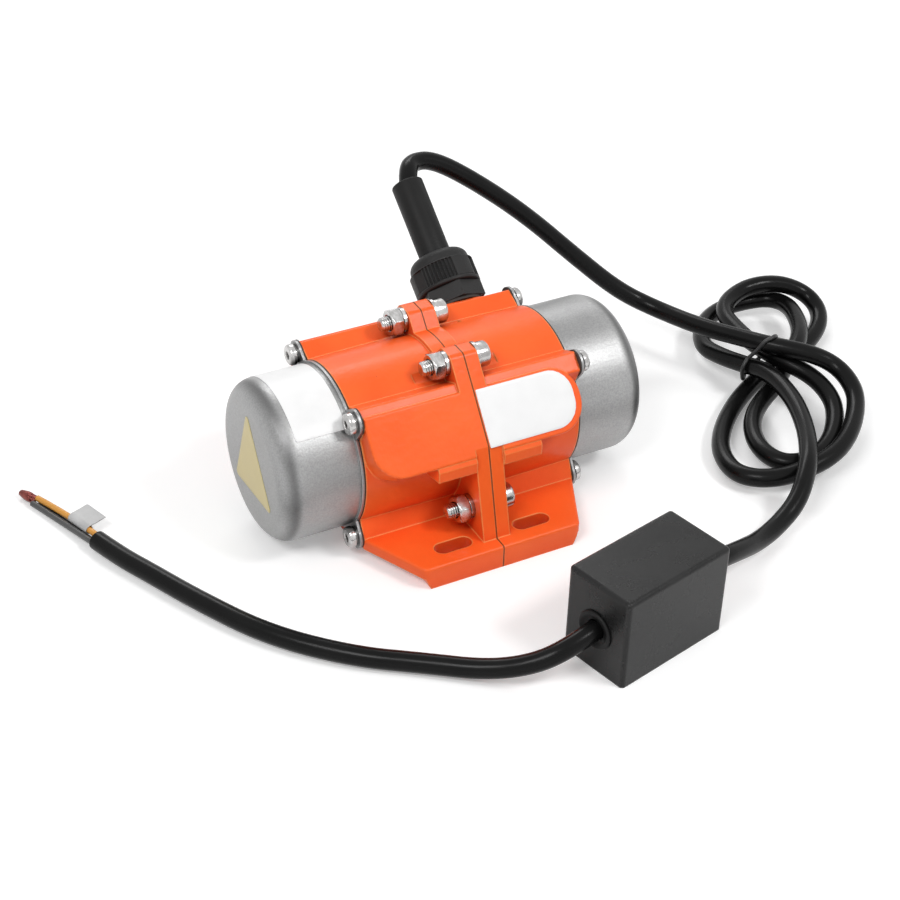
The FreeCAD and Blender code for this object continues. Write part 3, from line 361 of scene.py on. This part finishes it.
def banded(name, light, dark, spacing, rough, metallic, relief):
    """Stacked sheets or wound wire: even bands along the shaft, broken a little by noise."""
    made, tree, shader, place = new_material(name, Metallic=metallic)
    bands_per_scale = 20.0
    values = {"Vector": place, "Scale": 1.0 / (spacing * bands_per_scale), "Distortion": 0.35, "Detail": 1.0}
    wave = add(tree, "ShaderNodeTexWave", values, bands_direction="X").outputs["Fac"]
    tones = use(tree, mottle, vector=place, scale=90.0, light=light, dark=dark)
    colour = blend(tree, ranged(tree, wave, 0.0, 1.0, 0.0, 0.45), tones["Color"], scaled(dark, 0.4))
    set_surface(tree, shader, colour, tones["Mask"], rough)
    finish_relief(tree, shader, wave, relief, FINE_BUMP)
    return made


materials = {
    "orange_enamel": enamel(),
    "drawn_steel": metal("drawn_steel_sheet", tone(0.42), tone(0.34), (0.36, 0.46), blotch=26.0,
                         grains=1500.0, relief=0.22, drawn=(60.0, 500.0, 500.0), sand=0.4,
                         # Where the painted dark reflection band starts, peaks and stops.
                         corner=(0.0705, 0.0735, 0.0775)),
    # Zinc gets strong painted shade in its sockets and creases.
    "zinc": metal("bright_zinc", tone(0.66, 0.01), tone(0.42, 0.02), (0.14, 0.26), blotch=260.0, relief=0.05,
                  radius=0.0003, painted_hollow_shade=0.9),
    "bearing_steel": metal("ground_bearing_steel", tone(0.72), tone(0.64), (0.12, 0.2), blotch=90.0,
                           relief=0.03),
    "shaft_steel": metal("turned_shaft_steel", tone(0.62, 0.01), tone(0.5, 0.02), (0.2, 0.3), relief=0.06,
                         drawn=(5000.0, 20.0, 20.0)),
    "weight_iron": metal("blackened_weight_iron", tone(0.20, 0.03), tone(0.12, 0.05), (0.4, 0.55),
                         relief=0.14),
    "lamination": banded("stacked_laminations", tone(0.34, 0.02), tone(0.22, 0.05), 0.0005, (0.35, 0.5),
                         metallic=1.0, relief=0.5),
    "winding": banded("wound_enamelled_wire", (0.50, 0.13, 0.035, 1), (0.33, 0.07, 0.02, 1), 0.0007,
                      (0.22, 0.36), metallic=0.6, relief=0.8),
    "rotor_aluminium": metal("cast_rotor_aluminium", tone(0.72), tone(0.6), (0.32, 0.45), relief=0.14),
    "gasket_rubber": plastic("gasket_rubber", tone(0.045, 0.1), tone(0.034, 0.1), (0.55, 0.7),
                             Specular_IOR_Level=0.3),
    # Painted highlight along the gland nut's edges.
    "gland_plastic": plastic("gland_plastic", tone(0.019), tone(0.013), (0.40, 0.52), grains=1500.0,
                             relief=0.3, radius=0.0004, edge_highlight=0.07, Specular_IOR_Level=0.22),
    "sleeve_rubber": plastic("sleeve_rubber", tone(0.011), tone(0.007), (0.42, 0.54), relief=0.2,
                             Specular_IOR_Level=0.18),
    "cord_jacket": plastic("cord_jacket", tone(0.006), tone(0.004), (0.20, 0.28), grains=500.0, relief=0.08,
                           Specular_IOR_Level=0.13),
    # Bright painted highlight along the box's edges.
    "box_plastic": plastic("box_plastic", tone(0.013), tone(0.009), (0.22, 0.32), grains=1500.0, relief=0.14,
                           radius=0.0009, edge_highlight=0.75, Specular_IOR_Level=0.26),
    "potting": plastic("cast_resin", tone(0.035), tone(0.024), (0.15, 0.3), relief=0.05),
    "capacitor_case": plastic("capacitor_case", (0.55, 0.06, 0.03, 1), (0.45, 0.04, 0.02, 1), (0.3, 0.4)),
    "core_yellow": plastic("core_yellow", (0.70, 0.33, 0.05, 1), (0.62, 0.27, 0.035, 1), (0.3, 0.4),
                           relief=0.04),
    "core_grey": plastic("core_grey", tone(0.075), tone(0.045), (0.3, 0.4), relief=0.04),
    "copper": metal("bare_copper", (0.27, 0.078, 0.066, 1), (0.12, 0.030, 0.028, 1), (0.25, 0.4),
                    blotch=500.0),
    "tag_paper": film("tag_film", 0.52, 0.42, 0.25),
    "tie_plastic": plastic("tie_plastic", tone(0.022), tone(0.014), (0.32, 0.42), relief=0.05),
}
plate_white = film("white_plate_film", 0.93, 0.90, 0.06)
label_white = film("white_label_film", 0.90, 0.86, 0.10)
core_black = plastic("core_black", tone(0.012), tone(0.008), (0.3, 0.4), relief=0.04, Specular_IOR_Level=0.2)
sticker_yellow = plastic("pale_yellow_sticker", (0.69, 0.58, 0.29, 1), (0.64, 0.53, 0.25, 1), (0.36, 0.46))
for piece in nodes.values():
    given = piece.data.materials[0].name.split(".")[0]
    piece.data.materials.clear()
    piece.data.materials.append(materials[given])


# Cords

def in_scene(name, data):
    """Object for a mesh, curve, lamp or camera."""
    made = bpy.data.objects.new(name, data)
    bpy.context.scene.collection.objects.link(made)
    return made


def on_root(name, data, stands_for):
    """Object that rides the root body and the solids that it stands for."""
    made = in_scene(name, data)
    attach(made, "root")
    if stands_for:
        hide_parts(*stands_for)
    return made


def lead(name, points, diameter, slot, *stands_for, material=None):
    """Round cord along one open spline whose control points are the route's turning points."""
    curve = bpy.data.curves.new(name, "CURVE")
    curve.dimensions = "3D"
    spline = curve.splines.new("NURBS")
    spline.points.add(len(points) - 1)
    for target, point in zip(spline.points, points):
        target.co = (*point, 1.0)
    spline.order_u = 3
    spline.use_endpoint_u = True
    spline.use_smooth = True
    spline.resolution_u = 10
    curve.bevel_depth = diameter / 2.0
    curve.bevel_resolution = 6
    curve.use_fill_caps = True
    curve.materials.append(material or materials[slot])
    return on_root(name, curve, stands_for)


motor_cord = lead("motor_lead", motor_lead, cord_diameter, "cord_jacket",
                  "motor_cord_arch", "motor_cord_hank", "motor_cord_box_run")
supply_cord = lead("supply_lead", supply_lead, cord_diameter, "cord_jacket", "supply_cord")
core_a = lead("yellow_core", yellow_core, core_diameter, "core_yellow", "core_yellow")
core_b = lead("grey_core", grey_core, core_diameter, "core_grey", "core_grey")
core_c = lead("black_core", black_core, 0.9 * core_diameter, "core_grey", material=core_black)


# Grids of points, made into closed skins. Millimetres, from the base frame.

FREE = 1000.0
X_DIRECTION, Y_DIRECTION, UP = np.eye(3)
shaft_centre = shaft_height * UP
pad_angle = math.radians(37.4)
pad_normal = np.array([0.0, math.cos(pad_angle), math.sin(pad_angle)])
pad_slope = np.array([0.0, math.sin(pad_angle), -math.cos(pad_angle)])
pad_distance = 41.1
gland_along, gland_down = 27.8, 4.8
gland_base = shaft_centre + gland_along * X_DIRECTION + gland_down * pad_slope
cap_radius = 32.0
cap_end = 78.2
cap_screw_circle = 36.9
box_centre = np.array([25.7, -116.5, 18.0])
box_turn = math.radians(13.5)
flange_bolts = ((17.3, 35.2), (40.2, -16.0))
flange_bolt_places = [(0.0, side * y, shaft_height + z) for y, z in flange_bolts for side in (-1, 1)]
thread_pitch = 1.0


def quads(rows, columns, wrap):
    """Corner numbers of the faces between neighbouring rows. The columns wrap round, and so do the rows if
    asked."""
    index = np.arange(rows * columns).reshape(rows, columns)
    upper = np.roll(index, -1, axis=0) if wrap else index[1:]
    lower = index if wrap else index[:-1]
    corners = [lower, upper, np.roll(upper, -1, axis=1), np.roll(lower, -1, axis=1)]
    return np.stack(corners, axis=-1).reshape(-1, 4)


def fans(columns, first, last, ends):
    """Corner numbers of the triangles from each end point to the ring beside it."""
    turn = np.arange(columns)
    onward = np.roll(turn, -1)
    start = np.stack([np.full(columns, ends[0]), first + turn, first + onward], axis=-1)
    finish = np.stack([np.full(columns, ends[1]), last + onward, last + turn], axis=-1)
    return np.concatenate([start, finish])


def skin(name, grid, material, slot, *stands_for, ring=False, sharp=38.0):
    """Closed mesh over copies of a grid of points. A ring joins its last row to its first; otherwise each end
    row shrinks to its own middle. Faces turn outwards where the volume they enclose, the sum of a . (b x c)
    over their corners, comes out above zero."""
    grid = np.asarray(grid, dtype=float)
    if grid.ndim == 3:
        grid = grid[None]
    copies, rows, columns = grid.shape[:3]
    points = grid.reshape(copies, rows * columns, 3)
    faces = quads(rows, columns, ring)
    tips = np.zeros((0, 3), dtype=int)
    if not ring:
        inner = points[:, columns:-columns]
        poles = np.stack([grid[:, 0].mean(axis=1), grid[:, -1].mean(axis=1)], axis=1)
        points = np.concatenate([inner, poles], axis=1)
        count = inner.shape[1]
        faces = quads(rows - 2, columns, False)
        tips = fans(columns, 0, count - columns, (count, count + 1))
    a, b, c, d = (points[0][faces[:, i]] for i in range(4))
    volume = np.einsum("ij,ij->", a, np.cross(b, c)) + np.einsum("ij,ij->", a, np.cross(c, d))
    if volume < 0:
        faces = faces[:, ::-1]
        tips = tips[:, ::-1]
    step = points.shape[1] * np.arange(copies)[:, None, None]
    all_faces = (faces[None] + step).reshape(-1, 4).tolist() + (tips[None] + step).reshape(-1, 3).tolist()
    mesh = bpy.data.meshes.new(name)
    mesh.from_pydata((points.reshape(-1, 3) * MM).tolist(), [], all_faces)
    mesh.materials.append(material)
    mesh.shade_smooth()
    mesh.set_sharp_from_angle(angle=math.radians(sharp))
    return on_root(name, mesh, stands_for)


def plain(*pairs):
    """Rows of a turned form, each from a distance and a radius, with no flats and no thread."""
    return [(along, radius, FREE, 0.0) for along, radius in pairs]


def rounding(along, radius, size):
    """Rows of a quarter-round shoulder that ends at a given distance and starts at a given radius."""
    angles = np.linspace(0.0, math.pi / 2, 5)
    return plain(*((along - size + size * math.sin(a), radius - size + size * math.cos(a)) for a in angles))


def socket_rows(top, mouth, flat, mouth_flat, chamfer, depth):
    """Rows of a hexagon socket sunk into a head's top: round mouth, six walls, closed bottom."""
    return [(top - chamfer[0], mouth, mouth_flat, 0.0), (top - chamfer[1], FREE, flat, 0.0),
            (top - depth, FREE, flat, 0.0), (top - depth - 0.2, 0.0, FREE, 0.0)]


def turned(rows, places, axis, side, sides=48):
    """Turned form, one copy a place. Each row gives a distance along the axis, a radius, the distance of six
    flats and a thread's depth: radius = least of radius and flat / cos(angle from the flat's middle), less
    depth times a triangle wave of distance / pitch - turn / 360."""
    along, radius, flat, depth = np.array(rows, dtype=float).T[:, :, None]
    turn = np.linspace(0.0, 2.0 * math.pi, sides, endpoint=False)
    off_flat = (turn + math.pi / 6) % (math.pi / 3) - math.pi / 6
    reach = np.minimum(radius, flat / np.cos(off_flat))
    wave = np.abs(2.0 * ((along / thread_pitch - turn / (2.0 * math.pi)) % 1.0) - 1.0)
    reach = (reach - depth * wave)[..., None]
    other = np.cross(axis, side)
    grid = along[..., None] * axis + reach * (np.cos(turn)[:, None] * side + np.sin(turn)[:, None] * other)
    return np.stack([grid + np.asarray(place) for place in places])


def tube_grid(path, radius, sides=12, closed=False):
    """Round tube: each row is a circle square to the path, turned from row to row as little as may be by
    projecting one fixed direction off the path's heading."""
    path = np.asarray(path, dtype=float)
    heading = np.roll(path, -1, axis=0) - np.roll(path, 1, axis=0) if closed else np.gradient(path, axis=0)
    heading /= np.linalg.norm(heading, axis=1, keepdims=True)
    guide = np.array([0.31, 0.42, 0.85])
    side = guide - (heading @ guide)[:, None] * heading
    side /= np.linalg.norm(side, axis=1, keepdims=True)
    other = np.cross(heading, side)
    turn = np.linspace(0.0, 2.0 * math.pi, sides, endpoint=False)
    circle = np.cos(turn)[:, None] * side[:, None] + np.sin(turn)[:, None] * other[:, None]
    grid = path[:, None] + radius * circle
    if closed:
        return grid
    first, last = (np.broadcast_to(point, grid[:1].shape) for point in (path[0], path[-1]))
    return np.concatenate([first, grid, last])


def looped(points, count):
    """Closed smooth path by given points: running averages of the straight path between them."""
    rounds = 6
    points = np.asarray(points, dtype=float)
    walk = np.linspace(0.0, len(points), count, endpoint=False)
    corners = np.concatenate([points, points[:1]])
    path = np.stack([np.interp(walk, np.arange(len(corners)), corners[:, i]) for i in range(3)], axis=1)
    for _ in range(rounds):
        path = (np.roll(path, 1, axis=0) + path + np.roll(path, -1, axis=0)) / 3.0
    return path


def rounded_outline(corners, radii, between=6):
    """Flat polygon with an arc at each corner: centre + radius * (cos, sin), swept between the two sides, and
    a number of points along each side."""
    steps = 8
    corners = np.asarray(corners, dtype=float)
    before = np.roll(corners, 1, axis=0) - corners
    after = np.roll(corners, -1, axis=0) - corners
    before /= np.linalg.norm(before, axis=1, keepdims=True)
    after /= np.linalg.norm(after, axis=1, keepdims=True)
    half = 0.5 * np.arccos(np.einsum("ij,ij->i", before, after))[:, None]
    radii = np.asarray(radii, dtype=float)[:, None]
    middle = before + after
    middle /= np.linalg.norm(middle, axis=1, keepdims=True)
    centres = corners + middle * radii / np.sin(half)
    first = corners + before * radii / np.tan(half) - centres
    last = corners + after * radii / np.tan(half) - centres
    share = np.linspace(0.0, 1.0, steps)[None, :, None]
    arc = first[:, None] * (1 - share) + last[:, None] * share
    arc *= radii[:, None] / np.linalg.norm(arc, axis=2, keepdims=True)
    outline = (centres[:, None] + arc).reshape(-1, 2)
    ends = np.roll(outline, -1, axis=0)
    gaps = np.linspace(0.0, 1.0, between, endpoint=False)[:, None]
    runs = [outline[i] * (1 - gaps) + ends[i] * gaps if (i + 1) % steps == 0 else outline[i:i + 1]
            for i in range(len(outline))]
    return np.concatenate(runs)


def leaf(outline, thickness, put, steps=10):
    """Thin sheet: rows lead from its middle to its outline on the upper face, and back on the lower one."""
    middle = outline.mean(axis=0)
    shrink = np.linspace(0.0, 1.0, steps)
    edge = 0.25 * thickness
    upper = [(share, thickness) for share in shrink[:-1]]
    upper += [(1.0 - edge / 8.0, thickness), (1.0, thickness - edge)]
    lower = [(1.0, 0.0)] + [(share, 0.0) for share in shrink[-2::-1]]
    return np.stack([put(middle + (outline - middle) * share, lift) for share, lift in upper + lower])


# Fasteners

def bolt_grid():
    """Flange bolts: chamfered tip, thread, plain shank, round head with a hexagon socket."""
    tip, seat, top, shank, head = -16.05, 6.95, 11.95, 2.98, 5.0
    thread_end, thread_depth, rows_apart = -11.5, 0.42, 0.125
    rows = plain((tip, 0.0), (tip, 2.2)) + [(tip + 0.6, 2.9, FREE, 0.2)]
    rows += [(x, shank, FREE, thread_depth) for x in np.arange(tip + 0.8, thread_end, rows_apart)]
    rows += plain((-11.3, shank), (seat - 0.02, shank), (seat, 4.7), (seat + 0.3, head))
    rows += rounding(top, head, 1.2) + socket_rows(top, 2.9, 2.3, 2.5, (0.05, 0.35), 3.0)
    return turned(rows, flange_bolt_places, X_DIRECTION, Y_DIRECTION)


def nut_grid():
    """Hexagon nuts: flats cut by a cone at each face, which leaves the curved chamfer, and a plain bore."""
    outer, inner, across, bore, face = -12.35, -7.35, 5.0, 3.05, 4.7
    cone_length, cone_rise = 0.9, 1.15
    shares = np.linspace(0.15, 1.0, 7)
    rows = plain((outer + 0.3, bore), (outer, 3.4)) + [(outer, face, across, 0.0)]
    rows += [(outer + cone_length * share, face + cone_rise * share, across, 0.0) for share in shares]
    rows += [(inner - cone_length * share, face + cone_rise * share, across, 0.0) for share in shares[::-1]]
    rows += [(inner, face, across, 0.0), (inner, bore, FREE, 0.0)]
    return turned(rows, flange_bolt_places, X_DIRECTION, Y_DIRECTION, sides=72)


def cap_screw_grid(side):
    """Cap screws of one end: crowned head with a hexagon socket, and a shank into the casting."""
    seat, top, tip, shank, head = 48.4, 51.2, 37.2, 2.0, 4.2
    reach = cap_screw_circle / math.sqrt(2.0)
    rows = plain((tip, 0.0), (tip, 1.7), (37.5, shank), (seat - 0.01, shank), (seat, 3.95),
                 (seat + 0.25, head))
    rows += rounding(top, head, 1.3) + socket_rows(top, 1.9, 1.5, 1.65, (0.02, 0.25), 1.8)
    places = [(0.0, y * reach, shaft_height + z * reach) for y in (-1, 1) for z in (-1, 1)]
    return turned(rows, places, side * X_DIRECTION, Y_DIRECTION)


zinc = materials["zinc"]
skin("dressed_flange_bolts", bolt_grid(), zinc, "zinc", "flange_bolts")
skin("dressed_flange_nuts", nut_grid(), zinc, "zinc", "flange_nuts", ring=True, sharp=28.0)
skin("dressed_cap_screws_right", cap_screw_grid(1), zinc, "zinc", "cap_screws_right")
skin("dressed_cap_screws_left", cap_screw_grid(-1), zinc, "zinc", "cap_screws_left")


# Cable gland

def gland_nut_grid():
    """Dome nut: three panels of fine ribs, radius = full - depth * ((1 - cos(54 turns)) / 2) ** 0.6, between
    three flat facets, radius = flat / cos(angle from the facet's middle), under a bead and a stepped, rounded
    dome. Each row gives a distance, a radius and how far the ribs and facets show in it."""
    full, flat, depth, bore, ribs_round = 13.5, 12.35, 0.95, 6.72, 54.0
    dome_foot, dome_radius, dome_inside = 60.8, 4.0, 8.4
    turn = np.linspace(0.0, 2.0 * math.pi, 648, endpoint=False)
    panel = (turn + math.pi / 6) % (2.0 * math.pi / 3)
    ribs = full - depth * (0.5 - 0.5 * np.cos(panel * ribs_round)) ** 0.6
    facets = np.minimum(full, flat / np.cos(panel - 2.0 * math.pi / 3))
    band = np.where(panel < math.pi / 3, ribs, facets)
    rows = [(49.1, 10.6, 0), (49.1, 12.9, 0), (49.25, 13.25, 0), (49.6, full, 0), (50.5, full, 0),
            (50.75, 13.25, 0.2), (50.9, full, 1), (58.7, full, 1), (58.9, 13.3, 0.2), (59.0, full, 0)]
    rows += [(59.2, 13.3, 0), (59.4, 12.75, 0), (59.5, 12.55, 0), (60.4, 12.4, 0)]
    rows += [(dome_foot + dome_radius * math.sin(a), dome_inside + dome_radius * math.cos(a), 0)
             for a in np.linspace(0.0, math.pi / 2, 9)]
    rows += [(64.9, 7.1, 0), (64.8, 6.8, 0), (64.4, bore, 0), (57.2, bore, 0), (57.2, 10.6, 0)]
    along, radius, share = np.array(rows).T[:, :, None]
    reach = radius * (1 - share) + np.minimum(radius, band) * share
    other = np.cross(pad_normal, X_DIRECTION)
    circle = np.cos(turn)[:, None] * X_DIRECTION + np.sin(turn)[:, None] * other
    return gland_base + along[..., None] * pad_normal + reach[..., None] * circle


def sleeve_grid():
    """Rubber sleeve: straight tube with a rounded mouth, closed on itself round the cord."""
    foot, mouth = 57.4, 98.9
    rows = plain((foot, 3.95), (foot, 6.5), (foot + 0.2, 6.6), (76.0, 6.6)) + rounding(mouth, 6.65, 0.8)
    rows += plain((mouth, 4.7), (98.6, 4.2), (97.6, 3.92))
    return turned(rows, [gland_base], pad_normal, X_DIRECTION, sides=64)


skin("dressed_gland_nut", gland_nut_grid(), materials["gland_plastic"], "gland_plastic", "gland_nut",
     ring=True)
skin("dressed_cable_sleeve", sleeve_grid(), materials["sleeve_rubber"], "sleeve_rubber", "cable_sleeve",
     ring=True)


# Plates and labels, all blank

def on_pad(flat_points, lift):
    """Point of the front pad's face: along the shaft, down the slope, and out along the pad's normal."""
    mirror = np.array([1.0, -1.0, 1.0])
    out = (pad_distance + lift) * pad_normal * mirror
    return shaft_centre + flat_points[:, :1] * X_DIRECTION + out + flat_points[:, 1:] * pad_slope * mirror


def on_left_cap(flat_points, lift):
    """Point of the left cap's wall: along the shaft, and by an angle in degrees up from the front."""
    angle = np.radians(flat_points[:, 1])
    reach = cap_radius + lift
    return np.stack([flat_points[:, 0], -reach * np.cos(angle), shaft_height + reach * np.sin(angle)], axis=1)


def on_left_end(flat_points, lift):
    """Point of the left cap's closed end, given by its place across and its height."""
    along = np.full(len(flat_points), -cap_end - lift)
    return np.stack([along, flat_points[:, 0], flat_points[:, 1]], axis=1)


plate_corners = [(0.6, -4.8), (40.0, -4.8), (40.0, 17.8), (0.6, 17.8)]
plate_outline = rounded_outline(plate_corners, (0.5, 9.5, 9.5, 0.5))
label_corners = [(-69.6, 43.5), (-49.3, 43.5), (-49.3, 150.0), (-69.6, 150.0)]
label_outline = rounded_outline(label_corners, (1.5,) * 4, between=48)
sticker_outline = rounded_outline([(2.8, 57.2), (15.7, 21.2), (-18.2, 23.0)], (1.6,) * 3)
skin("front_plate", leaf(plate_outline, 0.4, on_pad), plate_white, "tag_paper")
skin("left_cap_label", leaf(label_outline, 0.15, on_left_cap, steps=24), label_white, "tag_paper")
skin("left_end_sticker", leaf(sticker_outline, 0.15, on_left_end), sticker_yellow, "tag_paper")


# Hank tie: a thin plastic-covered wire round the strands that lie together

tie_turns = [
    (158.5, -4.9, 29.9), (156.0, -4.3, 28.9), (154.4, -3.8, 26.7), (153.4, -3.0, 24.1), (151.4, 0.1, 18.9),
    (149.7, -0.6, 17.7), (148.4, -1.0, 15.6), (148.2, -1.1, 13.1), (148.9, -1.2, 9.8), (151.3, 1.2, 8.0),
    (154.6, 4.8, 8.0), (161.0, 7.4, 10.0), (167.2, 6.5, 14.8), (168.0, 2.8, 19.6), (165.6, 0.2, 24.6),
    (163.0, -2.3, 28.4), (160.7, -4.2, 30.0),
]
tie = skin("dressed_hank_tie", tube_grid(looped(tie_turns, 136), 0.85, closed=True), materials["tie_plastic"],
           "tie_plastic", "hank_tie", ring=True)


# Cord entries of the capacitor box

def grommet_grid():
    """Rubber ring in each end of the box: a rolled lip, and a collar that closes on the cord."""
    outward = np.array([math.cos(box_turn), math.sin(box_turn), 0.0])
    rows = plain((23.6, 3.95), (23.6, 6.95), (25.9, 6.95), (26.05, 7.6), (26.5, 7.8), (27.0, 7.5),
                 (27.2, 6.9), (27.0, 6.2), (26.4, 5.6), (26.0, 4.6), (25.9, 3.95))
    return np.concatenate([turned(rows, [box_centre], side * outward, UP, sides=56) for side in (-1, 1)])


skin("box_grommets", grommet_grid(), materials["sleeve_rubber"], "sleeve_rubber", ring=True)


# Film tag on the yellow core, and the bare strands

def tag_grid():
    """Film rolled round the core and stuck to itself: a flat run, most of a circle, and a run back. Rows
    follow that profile, columns run along the core on one face and back on the other."""
    length, thickness, radius, columns, sag = 11.5, 0.14, 1.6, 12, 0.008
    along = np.array([-0.304, 0.953, 0.0])
    across = np.array([0.953, 0.304, 0.0])
    centre = np.array([-137.07, 31.9, 4.72])
    circle = np.radians(np.linspace(90.0, -220.0, 26))
    flag = np.linspace(7.5, 0.4, 9)
    sheet_side = np.concatenate([flag, -radius * np.cos(circle), flag[::-1] + 0.6])
    sheet_up = np.concatenate([1.75 + sag * flag ** 2, radius * np.sin(circle), 1.5 + sag * flag[::-1] ** 2])
    profile = np.stack([sheet_side, sheet_up], axis=1)
    heading = np.gradient(profile, axis=0)
    heading /= np.linalg.norm(heading, axis=1, keepdims=True)
    normal = np.stack([heading[:, 1], -heading[:, 0]], axis=1)
    run = np.linspace(-length / 2.0, length / 2.0, columns)
    there = np.concatenate([run, run[::-1]])
    face = np.repeat((0.5, -0.5), columns) * thickness
    point = profile[:, None] + normal[:, None] * face[:, None]
    grid = centre + there[:, None] * along + point[..., :1] * across + point[..., 1:] * UP
    return np.concatenate([grid[:1], grid, grid[-1:]])


def strand_grid():
    """Bare strands of both cores: each leaves its core, then winds round the common tail,
    place = start * (1 - s) + (tail + radius * (cos, sin)(angle + twist * t)) * s, with s rising smoothly and
    a radius that swells along the tail as a half wave."""
    tail_start, tail_end = (-147.3, 57.2, 2.5), (-150.6, 64.2, 2.3)
    cores = (((-146.2, 56.6, 3.0), 0.0), ((-148.5, 56.0, 1.9), 0.5))
    layers = ((1.0, 7), (0.4, 3))
    twist, strand_radius = 0.7, 0.36
    share = np.linspace(0.0, 1.0, 40)[:, None]
    tail = np.array([tail_start]) * (1 - share) + np.array([tail_end]) * share
    rise = np.clip(share / 0.3, 0.0, 1.0)
    rise = rise * rise * (3.0 - 2.0 * rise)
    swell = 0.9 + 0.75 * np.sin(math.pi * share ** 0.8)
    side = np.array([0.90, 0.43, 0.0])
    grids = []
    for start, first in cores:
        for layer, count in layers:
            for i in range(count):
                angle = 2.0 * math.pi * ((i + first) / count + twist * share)
                out = np.cos(angle) * side + np.sin(angle) * UP
                leaving = (np.array(start) + 0.6 * layer * out) * (1 - rise)
                path = leaving + (tail + swell * layer * out) * rise
                grids.append(tube_grid(path, strand_radius, sides=8))
    return np.stack(grids)


wire_film = skin("dressed_wire_tag", tag_grid(), materials["tag_paper"], "tag_paper", "wire_tag")
strands = skin("dressed_copper_strands", strand_grid(), materials["copper"], "copper", "copper_end")


# Floor, light and camera

def seen_ray(tree):
    """1 where a ray comes from the camera, a reflection or glass, and 0 where it gathers light."""
    path = add(tree, "ShaderNodeLightPath").outputs
    seen = number(tree, "MAXIMUM", path["Is Camera Ray"], path["Is Glossy Ray"])
    return number(tree, "MAXIMUM", seen, path["Is Transmission Ray"])


def floor():
    """Plain pale floor, lifted to white for the eye and for reflections, more so far away, keeping the
    shadows. The lift is given at a near and at a far distance."""
    size = 4.0
    near, far = (0.4, 0.24), (1.3, 0.85)
    corners = [(-size, -size, 0), (size, -size, 0), (size, size, 0), (-size, size, 0)]
    mesh = bpy.data.meshes.new("floor")
    mesh.from_pydata(corners, [], [(0, 1, 2, 3)])
    made = in_scene("floor", mesh)
    paper, tree, shader, place = new_material("floor_paper", Base_Color=tone(0.90), Roughness=0.9,
                                              Specular_IOR_Level=0.1, Emission_Color=WHITE)
    away = add(tree, "ShaderNodeVectorMath", {0: place}, operation="LENGTH").outputs["Value"]
    paler = ranged(tree, away, near[0], far[0], near[1], far[1])
    lift = number(tree, "MULTIPLY", seen_ray(tree), paler)
    tree.links.new(lift, shader.inputs["Emission Strength"])
    made.data.materials.append(paper)


def softbox(name, place, aim, size, power):
    """Square lamp that looks at a point."""
    lamp = bpy.data.lights.new(name, "AREA")
    lamp.shape = "RECTANGLE"
    lamp.size, lamp.size_y = size
    lamp.energy = power
    made = in_scene(name, lamp)
    made.location = place
    made.rotation_euler = (Vector(aim) - Vector(place)).to_track_quat("-Z", "Y").to_euler()


def camera():
    """View found from the photograph: azimuth, height and roll in degrees, distance in millimetres, focal
    length and the offset of the shaft's middle in pixels."""
    azimuth, height, roll = math.radians(-28.85), math.radians(35.33), math.radians(-1.77)
    distance, focal, picture_width, sensor_width = 765.76, 1948.87, 900.0, 36.0
    offset = (-14.79, 36.3)
    right = np.array([math.cos(azimuth), math.sin(azimuth), 0.0])
    level = math.cos(height)
    back = np.array([math.sin(azimuth) * level, -math.cos(azimuth) * level, math.sin(height)])
    up = np.cross(back, right)
    c, s = math.cos(roll), math.sin(roll)
    across = c * offset[0] + s * offset[1]
    along = -s * offset[0] + c * offset[1]
    place = (-across * right - along * up) * distance / focal + back * distance
    place = place * MM + np.array([0, 0, shaft_height * MM])
    view = bpy.data.cameras.new("camera")
    view.sensor_width = sensor_width
    view.sensor_fit = "HORIZONTAL"
    view.lens = sensor_width * focal / picture_width
    view.clip_start = 0.05
    made = in_scene("camera", view)
    x_axis, y_axis = c * right - s * up, s * right + c * up
    turn = Matrix([(x_axis[i], y_axis[i], back[i]) for i in range(3)]).to_4x4()
    made.matrix_world = Matrix.Translation(Vector(place)) @ turn
    bpy.context.scene.camera = made


def world():
    """Pale surround, white where the eye sees it, and as a light paler above than below."""
    made = bpy.data.worlds.new("surround")
    made.use_nodes = True
    bpy.context.scene.world = made
    tree = made.node_tree
    background = tree.nodes["Background"]
    background.inputs["Color"].default_value = WHITE
    heading = add(tree, "ShaderNodeTexCoord").outputs["Generated"]
    upward = add(tree, "ShaderNodeSeparateXYZ", {"Vector": heading}).outputs["Z"]
    level = ranged(tree, upward, -0.1, 0.9, 0.18, 0.5, interpolation_type="SMOOTHSTEP")
    white = add(tree, "ShaderNodeMix", {0: seen_ray(tree), 2: level, 3: 1.0})
    tree.links.new(white.outputs[0], background.inputs["Strength"])


floor()
camera()
world()
softbox("key", (-0.75, -0.45, 1.05), (0.0, 0.0, 0.03), (0.5, 0.35), 6.3)
softbox("front", (0.5, -0.68, 1.0), (0.02, -0.02, 0.04), (0.35, 0.25), 5.6)
softbox("back", (0.25, 1.0, 0.9), (0.0, 0.0, 0.05), (0.7, 0.3), 3.8)
bpy.context.scene.view_settings.view_transform = "Standard"
